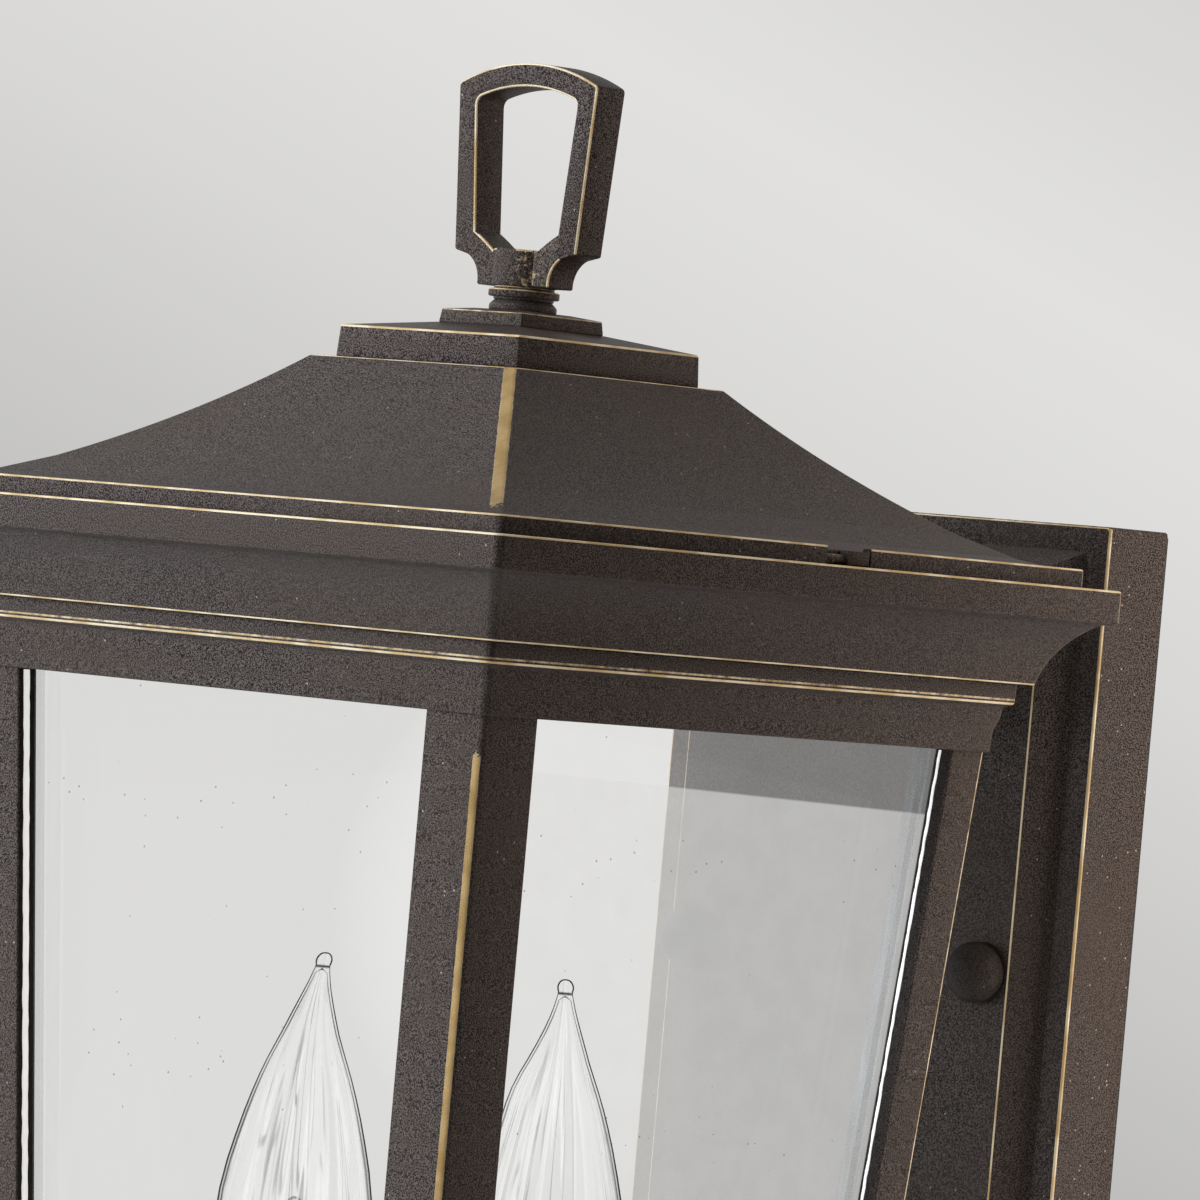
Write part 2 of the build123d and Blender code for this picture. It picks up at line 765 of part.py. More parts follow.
def arm():
    """Hollow cast arm: wall flange, square tube and a round boss under the lantern."""
    low = arm_z - arm_height / 2
    high = arm_z + arm_height / 2
    tube_end = lantern_out
    body = block((-arm_width / 2, arm_width / 2), (-tube_end, panel_face_y), (low, high))
    pad = block((-arm_pad_half, arm_pad_half), (-arm_pad_half, arm_pad_half), (low, high))
    pad = chamfer(pad.edges().group_by(Axis.Z)[0], arm_pad_chamfer)
    body += Pos(0, -lantern_out, 0) * pad
    body += block((-arm_flange_half, arm_flange_half),
                  (panel_face_y - arm_flange_thickness, panel_face_y), (low, high))
    half = arm_width / 2 - arm_wall
    body -= block((-half, half), (-tube_end, panel_face_y + 1), (low + arm_wall, high - arm_wall))
    inner_pad = arm_pad_half - 2 * arm_wall
    body -= Pos(0, -lantern_out, 0) * square_block(inner_pad, low + arm_wall, high - arm_wall)
    body -= Pos(0, -lantern_out, 0) * rod(nipple_radius + bolt_gap, high - arm_wall - 1, high + 1)
    body -= Pos(0, -lantern_out, 0) * rod(drop_stud_radius + running_gap, low - 1, low + arm_wall + 1)
    for side in (-1, 1):
        body -= wall_rod(arm_screw_radius, panel_face_depth - 1,
                         panel_face_depth + arm_flange_thickness + 1, side * arm_screw_offset, arm_z)
    return body


def arm_screws():
    """Two screws from inside the wall plate into the arm's flange."""
    screws = []
    inside = panel_face_depth - plate_wall
    for side in (-1, 1):
        x = side * arm_screw_offset
        screw = wall_rod(arm_screw_radius, inside, panel_face_depth + arm_flange_thickness, x, arm_z)
        screw += wall_rod(2 * arm_screw_radius, inside - arm_screw_radius, inside, x, arm_z)
        screws.append(screw)
    return Compound(children=screws)


def drop_finial():
    """Turned drop under the arm: collar, neck, ball and tip, with its own stud."""
    top = -arm_bottom_drop
    collar_low = top - drop_collar_height
    neck_low = collar_low - drop_neck_height
    ball_centre = neck_low - math.sqrt(drop_ball_radius ** 2 - drop_neck_radius ** 2)
    body = rod(drop_collar_radius, collar_low, top)
    body += rod(drop_neck_radius, ball_centre, collar_low)
    body += Pos(0, 0, ball_centre) * Sphere(drop_ball_radius)
    body += Pos(0, 0, ball_centre - drop_ball_radius) * Sphere(drop_tip_radius)
    return body + rod(drop_stud_radius, top - 1, top + arm_wall + nut_height)


def nipple():
    """Threaded tube that clamps the lamp cluster, tray and steps to the arm."""
    low = -base_small_drop - arm_wall - nut_height
    return rod(nipple_radius, low, nipple_top) - rod(nipple_bore, low - 1, nipple_top + 1)


def nipple_nuts():
    """Hexagon nuts on the tube: over the cluster, on the tray and inside the arm."""
    places = (
        (-lamp_seat_drop, nut_height),
        (-pane_foot_drop, nut_height),
        (-base_small_drop - arm_wall - nut_height, nut_height),
    )
    nuts = []
    for low, height in places:
        nuts.append(hex_nut(nipple_nut_flat, low, low + height, nipple_radius))
    return Compound(children=nuts)


def cluster_bar():
    """Steel bar that carries the two lamp holders on the threaded tube."""
    reach = lamp_spacing / 2 + sleeve_radius + 1
    bar = SlotOverall(2 * reach, cluster_width)
    turned = Pos(lamp_shift, lamp_shift, -cluster_drop) * Rot(0, 0, lamp_turn) * bar
    body = extrude(turned, cluster_thickness)
    return body - rod(nipple_radius + bolt_gap, -cluster_drop - 1, -lamp_seat_drop + 1)


def lamp_socket(place):
    """Candelabra lamp holder: flanged foot, a leg and a round body with a blind bore."""
    low = -lamp_seat_drop
    bore_foot = lamp_base_foot - easy_gap
    mouth = lamp_neck - lamp_collar_length - easy_gap
    body = rod(socket_flange, low, low + socket_flange_height, *place)
    body += rod(socket_leg_radius, low, bore_foot, *place)
    body += rod(socket_radius, bore_foot - socket_floor, mouth, *place)
    return body - rod(lamp_base_radius + running_gap, bore_foot, mouth + 1, *place)


def candle_sleeve(place):
    """Tube over the lamp holder, notched at its foot for the lead."""
    low = -lamp_seat_drop
    high = lamp_neck - sleeve_below_glass
    body = rod(sleeve_radius, low, high, *place)
    body -= rod(sleeve_radius - sleeve_wall, low - 1, high + 1, *place)
    notch = block((0, 2 * sleeve_radius), (-2 * lead_radius, 2 * lead_radius),
                  (low - 1, lead_exit + 2 * lead_radius))
    towards_centre = math.degrees(math.atan2(-place[1], -place[0]))
    return body - Pos(place[0], place[1], 0) * Rot(0, 0, towards_centre) * notch


lamp_tip = -lamp_tip_drop
lamp_neck = lamp_tip - lamp_glass_length
lamp_base_foot = lamp_neck - lamp_base_length


def glass_profile(wall):
    """Right-hand section of the flame-shaped glass, drawn in by a wall thickness."""
    length = lamp_glass_length - lamp_neck_length
    points = [(radius - wall, 0, lamp_tip - share * length) for radius, share in lamp_shape]
    points.append((lamp_glass_neck - wall, 0, lamp_neck + lamp_neck_length))
    return points


def revolved(edges):
    """A solid turned about the upright axis from edges that start and end on it."""
    return revolve(make_face(Wire(edges)), Axis.Z)


def lamp_glass(place):
    """Thick clear flame-shaped glass with a knobbed tip."""
    outer = glass_profile(0)
    inner = glass_profile(lamp_glass_wall)[2:]
    tip = (0, 0, lamp_tip)
    knob = ThreePointArc(tip, (lamp_knob_radius, 0, lamp_tip - lamp_knob_height), outer[0])
    side = Spline(*outer)
    neck = Line(outer[-1], (lamp_glass_neck, 0, lamp_neck))
    foot = Line((lamp_glass_neck, 0, lamp_neck), (0, 0, lamp_neck))
    solid = revolved([knob, side, neck, foot, Line((0, 0, lamp_neck), tip)])
    hollow_top = (0, 0, inner[0][2] + lamp_hollow_tip)
    cap = Line(hollow_top, inner[0])
    hollow_side = Spline(*inner)
    low = lamp_neck + lamp_glass_wall
    hollow_neck = Line(inner[-1], (inner[-1][0], 0, low))
    hollow_foot = Line((inner[-1][0], 0, low), (0, 0, low))
    axis = Line((0, 0, low), hollow_top)
    hollow = revolved([cap, hollow_side, hollow_neck, hollow_foot, axis])
    return Pos(*place, 0) * (solid - hollow)


def lamp_base(place):
    """Screw shell of the lamp with its centre contact and a collar under the glass."""
    shell_foot = lamp_base_foot + lamp_contact_length
    body = rod(lamp_base_radius, shell_foot, lamp_neck - lamp_collar_length, *place)
    body += rod(lamp_collar_radius, lamp_neck - lamp_collar_length, lamp_neck, *place)
    return body + rod(lamp_base_radius / 2, lamp_base_foot, shell_foot, *place)


def lamp_filament(place):
    """Glass mount with two upright supports and a hairpin filament."""
    low = lamp_neck + lamp_glass_wall
    stem_top = low + lamp_stem_length
    top = stem_top + filament_height
    body = rod(lamp_stem_radius, low, stem_top)
    half = filament_spread / 2
    path = FilletPolyline(
        (-half, 0, stem_top - 1), (-half, 0, top), (half, 0, top), (half, 0, stem_top - 1),
        radius=half * 0.9,
    )
    wire = sweep(Plane(origin=path @ 0, z_dir=path % 0) * Circle(filament_radius), path=path)
    reach = half + filament_bridge
    bridge = block((-reach, reach), (-filament_bridge, filament_bridge),
                   (stem_top - filament_bridge_height, stem_top))
    return Pos(*place, 0) * (body + bridge + wire)


def supply_leads():
    """Two insulated leads from the wall plate through the arm and up the threaded tube."""
    leads = []
    for side in (-1, 1):
        x = side * lead_spacing
        back = -plate_depth / 2
        lamp_x, lamp_y = lamp_points[(side + 1) // 2]
        reach = math.hypot(lamp_x - x, lamp_y)
        share = (reach - socket_leg_radius) / reach
        path = FilletPolyline(
            (x, back, arm_z + lead_rise),
            (x, back, arm_z),
            (x, -lantern_out, arm_z),
            (x, -lantern_out, eave_height + lead_exit),
            (x + share * (lamp_x - x), -lantern_out + share * lamp_y, eave_height + lead_exit),
            radius=lead_bend,
        )
        profile = Plane(origin=path @ 0, z_dir=path % 0) * Circle(lead_radius)
        leads.append(sweep(profile, path=path))
    return Compound(children=leads)


def wire_caps():
    """Twist-on caps on the leads' ends inside the wall plate."""
    caps = []
    for side in (-1, 1):
        low = arm_z + lead_rise - wire_cap_bore / 2
        middle = (side * wire_cap_spacing, -plate_depth / 2, low + wire_cap_height / 2)
        cap = Pos(*middle) * Cone(wire_cap_foot_radius, wire_cap_top_radius, wire_cap_height)
        bore = Cylinder(lead_radius + running_gap, 2 * wire_cap_bore)
        caps.append(cap - Pos(side * lead_spacing, -plate_depth / 2, low) * bore)
    return Compound(children=caps)


lantern_parts = {
    "crown": crown,
    "top_rail": top_rail,
    "post_front_left": lambda: post(-1, -1, front_left_leg, front_left_leg),
    "post_front_right": lambda: post(1, -1, front_right_leg, front_right_side_leg),
    "post_rear_left": lambda: post(-1, 1, post_leg, post_leg),
    "post_rear_right": lambda: post(1, 1, post_leg, post_leg),
    "pane_rear": lambda: pane(0),
    "pane_left": lambda: pane(90),
    "pane_front": lambda: pane(180),
    "pane_right": lambda: pane(270),
    "glazing_beads": glazing_beads,
    "foot_frame": foot_frame,
    "tray": tray,
    "base_step_large": lambda: base_step(base_large_half, tray_drop, base_large_height),
    "base_step_small": lambda: base_step(base_small_half, base_large_drop, base_small_height),
    "roof": roof,
    "roof_catches": roof_catches,
    "roof_cap_large": large_cap,
    "roof_cap_small": small_cap,
    "finial_washer": lower_collar,
    "finial_collar": upper_collar,
    "finial_loop": finial_loop,
    "cross_bar": cross_bar,
    "cross_bar_screws": cross_bar_screws,
    "roof_stud": roof_stud,
    "stud_nuts": stud_nuts,
    "drop_finial": drop_finial,
    "nipple": nipple,
    "nipple_nuts": nipple_nuts,
    "cluster_bar": cluster_bar,
}
for number, name in enumerate(("left", "right")):
    spot = lamp_points[number]
    lantern_parts[f"lamp_socket_{name}"] = lambda spot=spot: lamp_socket(spot)
    lantern_parts[f"candle_sleeve_{name}"] = lambda spot=spot: candle_sleeve(spot)
    lantern_parts[f"lamp_glass_{name}"] = lambda spot=spot: lamp_glass(spot)
    lantern_parts[f"lamp_base_{name}"] = lambda spot=spot: lamp_base(spot)
    lantern_parts[f"lamp_filament_{name}"] = lambda spot=spot: lamp_filament(spot)

wall_parts = {
    "wall_plate": wall_plate,
    "wall_gasket": wall_gasket,
    "mounting_strap": mounting_strap,
    "ground_screw": ground_screw,
    "fixing_studs": fixing_studs,
    "stud_lock_nuts": stud_lock_nuts,
    "cap_nut_left": lambda: cap_nut(-1),
    "cap_nut_right": lambda: cap_nut(1),
    "arm": arm,
    "arm_screws": arm_screws,
    "supply_leads": supply_leads,
    "wire_caps": wire_caps,
}

os.makedirs("parts", exist_ok=True)
for part_name, make in lantern_parts.items():
    export_step(placed(make()), f"parts/{part_name}.step")
for part_name, make in wall_parts.items():
    export_step(make(), f"parts/{part_name}.step")
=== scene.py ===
import json
import math
import random

import bmesh
import bpy
from mathutils import Matrix, Vector


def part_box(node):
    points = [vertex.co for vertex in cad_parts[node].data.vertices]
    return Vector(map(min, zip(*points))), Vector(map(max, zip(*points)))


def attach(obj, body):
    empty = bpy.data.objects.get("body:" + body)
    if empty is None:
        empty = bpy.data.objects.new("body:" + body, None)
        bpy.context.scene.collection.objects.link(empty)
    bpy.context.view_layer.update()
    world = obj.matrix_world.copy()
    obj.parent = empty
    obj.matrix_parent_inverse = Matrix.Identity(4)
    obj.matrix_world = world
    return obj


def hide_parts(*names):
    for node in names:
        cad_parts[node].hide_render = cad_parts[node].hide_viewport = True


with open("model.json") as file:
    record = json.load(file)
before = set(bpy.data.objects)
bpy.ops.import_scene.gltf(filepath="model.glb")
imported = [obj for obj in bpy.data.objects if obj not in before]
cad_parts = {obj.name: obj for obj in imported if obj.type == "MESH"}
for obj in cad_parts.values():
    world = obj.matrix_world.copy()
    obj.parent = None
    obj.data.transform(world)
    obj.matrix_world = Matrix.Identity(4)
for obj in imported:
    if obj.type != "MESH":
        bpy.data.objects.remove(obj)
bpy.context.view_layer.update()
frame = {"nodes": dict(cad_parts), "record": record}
nodes = frame["nodes"]

MM = 0.001
MERGE = 1e-6
RIM_RISE = 4.0
COVE_FOOT = -22.0
POST_TOP = -37.4
POST_LENGTH = 220.0
POST_THICK = 5.0
CAGE_HALF = 76.5
CAGE_SLOPE = 0.0595
STRIPE_HALF = 1.1 * MM
STRIPE_BASE = 20.0 * MM
STRIPE_DROP = 8.0
AWAY = -1.0
SMOOTH_ANGLE = 38.0
CORNER_STEPS = 6

crown_low, crown_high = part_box("crown")
AXIS = Vector(((crown_low.x + crown_high.x) / 2, (crown_low.y + crown_high.y) / 2))
EAVE = crown_high.z - RIM_RISE * MM
FASCIA_HALF = (crown_high.x - crown_low.x) / 2 / MM

# Each post: name, sides along X and Y, leg widths along X and Y, and its sealant's depth and half width
POSTS = (
    ("front_left", -1, -1, (9.0, 9.0), 2.4, 0.8),
    ("front_right", 1, -1, (17.2, 15.8), 2.7, 0.5),
    ("rear_left", -1, 1, (10.0, 10.0), 2.7, 0.5),
    ("rear_right", 1, 1, (10.0, 10.0), 3.6, 0.34),
)


def at_eave(x, y, height):
    """A point from millimetres along X and Y from the centre line and up from the eave."""
    return Vector((AXIS.x + x * MM, AXIS.y + y * MM, EAVE + height * MM))


# Node materials

def new_material(name):
    material = bpy.data.materials.new(name)
    material.use_nodes = True
    tree = material.node_tree
    shader = tree.nodes["Principled BSDF"]
    return material, tree, shader


def add_node(tree, kind, **settings):
    node = tree.nodes.new(kind)
    for key, value in settings.items():
        setattr(node, key, value)
    return node


def coordinates(tree):
    return add_node(tree, "ShaderNodeTexCoord").outputs["Object"]


def noise(tree, scale, detail=2.0, roughness=0.5, stretch=None):
    texture = add_node(tree, "ShaderNodeTexNoise")
    texture.inputs["Scale"].default_value = scale
    texture.inputs["Detail"].default_value = detail
    texture.inputs["Roughness"].default_value = roughness
    place = coordinates(tree)
    if stretch:
        mapping = add_node(tree, "ShaderNodeMapping")
        mapping.inputs["Scale"].default_value = stretch
        tree.links.new(place, mapping.inputs["Vector"])
        place = mapping.outputs["Vector"]
    tree.links.new(place, texture.inputs["Vector"])
    return texture.outputs["Fac"]


def ranged(tree, value, low, high, to_low=0.0, to_high=1.0, kind="SMOOTHSTEP"):
    node = add_node(tree, "ShaderNodeMapRange", interpolation_type=kind)
    for socket, number in (("From Min", low), ("From Max", high), ("To Min", to_low), ("To Max", to_high)):
        node.inputs[socket].default_value = number
    tree.links.new(value, node.inputs["Value"])
    return node.outputs["Result"]


def calculate(tree, operation, first, second=None):
    node = add_node(tree, "ShaderNodeMath", operation=operation)
    for socket, value in zip(node.inputs, (first, second)):
        if value is None:
            continue
        if isinstance(value, (int, float)):
            socket.default_value = value
        else:
            tree.links.new(value, socket)
    return node.outputs["Value"]


def mixed(tree, share, first, second):
    """Mixes two colours by a share; each of the three is a value or another node's output."""
    node = add_node(tree, "ShaderNodeMix", data_type="RGBA")
    for name, value in (("Factor", share), ("A", first), ("B", second)):
        socket = node.inputs[name]
        if isinstance(value, (int, float)):
            socket.default_value = value
        elif isinstance(value, tuple):
            socket.default_value = (*value, 1.0)
        else:
            tree.links.new(value, socket)
    return node.outputs["Result"]


def mixed_value(tree, share, first, second):
    node = add_node(tree, "ShaderNodeMix", data_type="FLOAT")
    tree.links.new(share, node.inputs["Factor"])
    node.inputs["A"].default_value = first
    node.inputs["B"].default_value = second
    return node.outputs["Result"]


def bumped(tree, shader, height, strength, distance):
    bump = add_node(tree, "ShaderNodeBump")
    bump.inputs["Strength"].default_value = strength
    bump.inputs["Distance"].default_value = distance
    tree.links.new(height, bump.inputs["Height"])
    tree.links.new(bump.outputs["Normal"], shader.inputs["Normal"])


def named_value(tree, name):
    """An attribute that the meshes carry; it reads as zero where a mesh hasn't got it."""
    return add_node(tree, "ShaderNodeAttribute", attribute_name=name).outputs["Fac"]


def blended(tree, share, first, second):
    """Mixes two surfaces by a share."""
    node = add_node(tree, "ShaderNodeMixShader")
    for socket, value in zip(node.inputs, (share, first, second)):
        tree.links.new(value, socket)
    return node.outputs["Shader"]


def surface(tree, kind, colour, roughness=None):
    """A plain surface of one kind; its colour is a value or another node's output."""
    node = add_node(tree, kind)
    if isinstance(colour, tuple):
        node.inputs["Color"].default_value = (*colour, 1.0)
    else:
        tree.links.new(colour, node.inputs["Color"])
    if roughness is not None:
        node.inputs["Roughness"].default_value = roughness
    return node.outputs[0]


def outer_gloss(tree, refraction):
    """How much the outer side of a glass mirrors at each angle."""
    fresnel = add_node(tree, "ShaderNodeFresnel")
    fresnel.inputs["IOR"].default_value = refraction
    inside = add_node(tree, "ShaderNodeNewGeometry").outputs["Backfacing"]
    return calculate(tree, "MULTIPLY", fresnel.outputs["Fac"], calculate(tree, "SUBTRACT", 1.0, inside))


def shows(tree, output):
    """Makes this the material's surface."""
    tree.links.new(output, tree.nodes["Material Output"].inputs["Surface"])


def dust(tree, scale, size, share):
    """Sparse round specks: one in a few cells of a scattered pattern."""
    cells = add_node(tree, "ShaderNodeTexVoronoi", feature="F1")
    cells.inputs["Scale"].default_value = scale
    tree.links.new(coordinates(tree), cells.inputs["Vector"])
    dot = ranged(tree, cells.outputs["Distance"], size * 0.7, size, 1.0, 0.0)
    picked = add_node(tree, "ShaderNodeSeparateColor")
    tree.links.new(cells.outputs["Color"], picked.inputs["Color"])
    chosen = calculate(tree, "GREATER_THAN", picked.outputs["Red"], 1.0 - share)
    return calculate(tree, "MULTIPLY", dot, chosen)


def bronze():
    """Dark bronze paint with a fine pebble, worn to gold on edges and in corner stripes; the same gold also
    carries painted highlight lines on the rear right corner.
    """
    material, tree, shader = new_material("bronze_finish")
    base = bronze_paint(tree)
    wobble = calculate(tree, "SUBTRACT", noise(tree, 420.0, 3.0, 0.6), 0.5)
    ragged = calculate(tree, "MULTIPLY", wobble, 0.25)
    # The edge mask holds the worn gold edges and also the painted highlight lines that glint writes into the
    # same attribute
    edge = ranged(tree, calculate(tree, "ADD", named_value(tree, "wear_and_glint"), ragged), 0.42, 0.58)
    across = calculate(tree, "SUBTRACT", named_value(tree, "stripe_across"), STRIPE_HALF)
    across = calculate(tree, "ABSOLUTE", across)
    across = calculate(tree, "ADD", across, calculate(tree, "MULTIPLY", ragged, 1.6 * MM))
    stripe = ranged(tree, across, STRIPE_HALF * 0.85, STRIPE_HALF * 1.1, 1.0, 0.0)
    rough_end = calculate(tree, "MULTIPLY", wobble, 7.0 * MM)
    along = calculate(tree, "ADD", named_value(tree, "stripe_along"), rough_end)
    start = ranged(tree, along, STRIPE_BASE, STRIPE_BASE + 0.6 * MM)
    stripe = calculate(tree, "MULTIPLY", stripe, start)
    worn = calculate(tree, "MAXIMUM", edge, stripe)
    patch = ranged(tree, noise(tree, 130.0), 0.35, 0.65)
    ochre = mixed(tree, patch, (0.33, 0.21, 0.08), (0.45, 0.30, 0.13))
    cream = mixed(tree, patch, (0.62, 0.44, 0.22), (0.88, 0.74, 0.52))
    gold = mixed(tree, stripe, cream, ochre)
    tree.links.new(mixed(tree, worn, base, gold), shader.inputs["Base Color"])
    tree.links.new(mixed_value(tree, worn, 0.50, 0.42), shader.inputs["Roughness"])
    tree.links.new(mixed_value(tree, worn, 0.0, 0.55), shader.inputs["Metallic"])
    shader.inputs["Specular IOR Level"].default_value = 0.22
    bumped(tree, shader, noise(tree, 1300.0, 3.0, 0.6), 0.7, 0.12 * MM)
    return material


def bronze_paint(tree):
    """The paint's colour: fine speckle, soft clouds, pale dust, and the marks that pieces carry: darkening
    from the shade attribute, and a brown mottle that is rust spatter on the finial and a painted highlight on
    the roof's catches.
    """
    speckle = ranged(tree, noise(tree, 3300.0, 1.0), 0.38, 0.64)
    base = mixed(tree, speckle, (0.004, 0.003, 0.0025), (0.086, 0.068, 0.061))
    cloud = ranged(tree, noise(tree, 24.0, 3.0, 0.55), 0.35, 0.7)
    base = mixed(tree, 0.35, base, mixed(tree, cloud, base, (0.046, 0.033, 0.025)))
    specks = calculate(tree, "MULTIPLY", dust(tree, 400.0, 0.11, 0.12), 0.35)
    base = mixed(tree, specks, base, (0.55, 0.50, 0.42))
    # Painted shade: the shade attribute darkens the paint towards black; the cap nuts get a plain darkening
    # through it
    shade = calculate(tree, "MULTIPLY", named_value(tree, "shade"), 0.9)
    base = mixed(tree, shade, base, (0.004, 0.004, 0.004))
    # Brown mottle from the spatter attribute: rust spatter on the finial, painted highlight on the roof's
    # catches
    spatter_and_highlight = ranged(tree, noise(tree, 900.0, 3.0, 0.7), 0.52, 0.60)
    rust_and_highlight = mixed(tree, ranged(tree, noise(tree, 1400.0), 0.4, 0.6), (0.16, 0.10, 0.05), (0.42, 0.32, 0.20))
    return mixed(tree, calculate(tree, "MULTIPLY", spatter_and_highlight, named_value(tree, "spatter_and_highlight")), base, rust_and_highlight)


def simple(name, first, second, scale, roughness, metallic=0.0, bump=0.1, stretch=None, coat=0.0,
           glow_strength=0.0):
    """A surface of two mottled colours with a fine bump; its last argument is a painted glow: emitted light
    standing in for light that comes through it.
    """
    material, tree, shader = new_material(name)
    grain = noise(tree, scale, 3.0, 0.6, stretch)
    tree.links.new(mixed(tree, ranged(tree, grain, 0.35, 0.65), first, second), shader.inputs["Base Color"])
    rough = ranged(tree, grain, 0.3, 0.7, roughness * 0.85, roughness * 1.15)
    tree.links.new(rough, shader.inputs["Roughness"])
    shader.inputs["Metallic"].default_value = metallic
    shader.inputs["Coat Weight"].default_value = coat
    shader.inputs["Emission Color"].default_value = (1.0, 0.99, 0.97, 1.0)
    shader.inputs["Emission Strength"].default_value = glow_strength
    bumped(tree, shader, grain, bump, 0.05 * MM)
    return material


def pane_glass(name, glow_cover=None):
    """Clear sheet glass with faint specks. Its second argument gives how much painted glow, an emitting
    pale haze, it carries below and above a level line; the smaller share above the line is the crown's painted
    shadow."""
    material, tree, shader = new_material(name)
    clear = surface(tree, "ShaderNodeBsdfTransparent", (0.995, 0.996, 0.996))
    gloss = surface(tree, "ShaderNodeBsdfGlossy", (0.8, 0.8, 0.8), 0.02)
    glass = blended(tree, outer_gloss(tree, 1.40), clear, gloss)
    cut_edge = named_value(tree, "cut_edge")
    stain_colour = mixed(tree, cut_edge, (0.10, 0.09, 0.08), (0.52, 0.55, 0.58))
    stain = surface(tree, "ShaderNodeBsdfDiffuse", stain_colour)
    fleck = calculate(tree, "MULTIPLY", dust(tree, 300.0, 0.09, 0.10), 0.5)
    stained = calculate(tree, "MAXIMUM", fleck, calculate(tree, "MULTIPLY", cut_edge, 0.22))
    glass = blended(tree, stained, glass, stain)
    if glow_cover:
        cloud = ranged(tree, noise(tree, 140.0), 0.3, 0.7)
        glow_colour = mixed(tree, cloud, (0.77, 0.765, 0.75), (0.73, 0.725, 0.71))
        # Painted glow: an emitting pale haze, light painted into the glass
        pale = surface(tree, "ShaderNodeEmission", glow_colour)
        # Painted shadow: the glow thins above this line, where the crown's shadow falls
        crown_shadow_line = EAVE - 52.0 * MM
        edge = 0.3 * MM
        glow_share = ranged(tree, place_along(tree, "Z"), crown_shadow_line - edge, crown_shadow_line + edge, *glow_cover)
        glass = blended(tree, glow_share, glass, pale)
    shows(tree, glass)
    tree.nodes.remove(shader)
    return material


def place_along(tree, axis):
    node = add_node(tree, "ShaderNodeSeparateXYZ")
    tree.links.new(coordinates(tree), node.inputs["Vector"])
    return node.outputs[axis]


def silicone():
    """Clear glazing silicone, mostly seen through, a little more cloudy towards the right."""
    material, tree, shader = new_material("clear_silicone")
    grain = noise(tree, 500.0, 2.0, 0.5, (1.0, 1.0, 0.1))
    tree.links.new(mixed(tree, grain, (0.50, 0.53, 0.56), (0.74, 0.77, 0.80)), shader.inputs["Base Color"])
    shader.inputs["Roughness"].default_value = 0.3
    cloud = ranged(tree, grain, 0.3, 0.7, 0.06, 0.20)
    rightward = ranged(tree, place_along(tree, "X"), 0.0, 60.0 * MM, 0.12, 1.0)
    clear = surface(tree, "ShaderNodeBsdfTransparent", (1.0, 1.0, 1.0))
    shows(tree, blended(tree, calculate(tree, "MULTIPLY", cloud, rightward), clear, shader.outputs["BSDF"]))
    return material


def blown_glass():
    """Thin clear glass of the lamps: seen through, with painted dark refraction at grazing angles, round
    the tip's bead and at the neck, fine creases that run down from the tip, and painted highlights: a
    soft glow and bright streaks of emitted light."""
    material, tree, shader = new_material("lamp_glass")
    around = add_node(tree, "ShaderNodeCombineXYZ")
    for socket, name in (("X", "turn_x"), ("Y", "turn_y"), ("Z", "turn_depth")):
        tree.links.new(named_value(tree, name), around.inputs[socket])

    def creases(scale, level, width):
        texture = add_node(tree, "ShaderNodeTexNoise")
        texture.inputs["Scale"].default_value = scale
        tree.links.new(around.outputs["Vector"], texture.inputs["Vector"])
        off = calculate(tree, "ABSOLUTE", calculate(tree, "SUBTRACT", texture.outputs["Fac"], level))
        return ranged(tree, off, width * 0.2, width, 1.0, 0.0), texture.outputs["Fac"]

    highlight_streak, broad = creases(2.6, 0.52, 0.022)
    dark_crease = creases(3.4, 0.46, 0.013)[0]
    turn = add_node(tree, "ShaderNodeLayerWeight")
    turn.inputs["Blend"].default_value = 0.5
    # Painted dark refraction: the see-through colour goes dark at grazing angles, round the tip's bead and at
    # the neck
    bead = calculate(tree, "MULTIPLY", named_value(tree, "bead"), 0.34)
    rim = ranged(tree, calculate(tree, "ADD", turn.outputs["Facing"], bead), 0.72, 0.86)
    rim = calculate(tree, "MAXIMUM", rim, calculate(tree, "MULTIPLY", named_value(tree, "neck"), 0.95))
    open_part = calculate(tree, "SUBTRACT", 1.0, rim)
    crease = calculate(tree, "MULTIPLY", dark_crease, 0.34)
    tint = mixed(tree, rim, mixed(tree, crease, (1.0, 1.0, 1.0), (0.25, 0.24, 0.22)), (0.02, 0.02, 0.02))
    clear = surface(tree, "ShaderNodeBsdfTransparent", tint)
    gloss = surface(tree, "ShaderNodeBsdfGlossy", (0.8, 0.8, 0.8), 0.04)
    mirror = calculate(tree, "MULTIPLY", calculate(tree, "MULTIPLY", outer_gloss(tree, 1.5), open_part), 0.8)
    glass = blended(tree, mirror, clear, gloss)
    # Painted highlights: emitted light in the glass, a soft glow and bright streaks along pale creases
    soft = ranged(tree, broad, 0.42, 0.66, 0.05, 0.17)
    glow = calculate(tree, "MAXIMUM", soft, calculate(tree, "MULTIPLY", highlight_streak, 0.42))
    highlight_glow = surface(tree, "ShaderNodeEmission", (1.0, 1.0, 0.99))
    shows(tree, blended(tree, calculate(tree, "MULTIPLY", glow, open_part), glass, highlight_glow))
    tree.nodes.remove(shader)
    return material


# Meshes

def finished(name, mesh_bm, material, smooth_angle=SMOOTH_ANGLE):
    """Makes an object from a bmesh, with smooth shading below an angle."""
    mesh = bpy.data.meshes.new(name)
    mesh_bm.normal_update()
    mesh_bm.to_mesh(mesh)
    mesh_bm.free()
    mesh.shade_smooth()
    mesh.set_sharp_from_angle(angle=math.radians(smooth_angle))
    piece = bpy.data.objects.new(name, mesh)
    bpy.context.scene.collection.objects.link(piece)
    mesh.materials.append(material)
    return piece


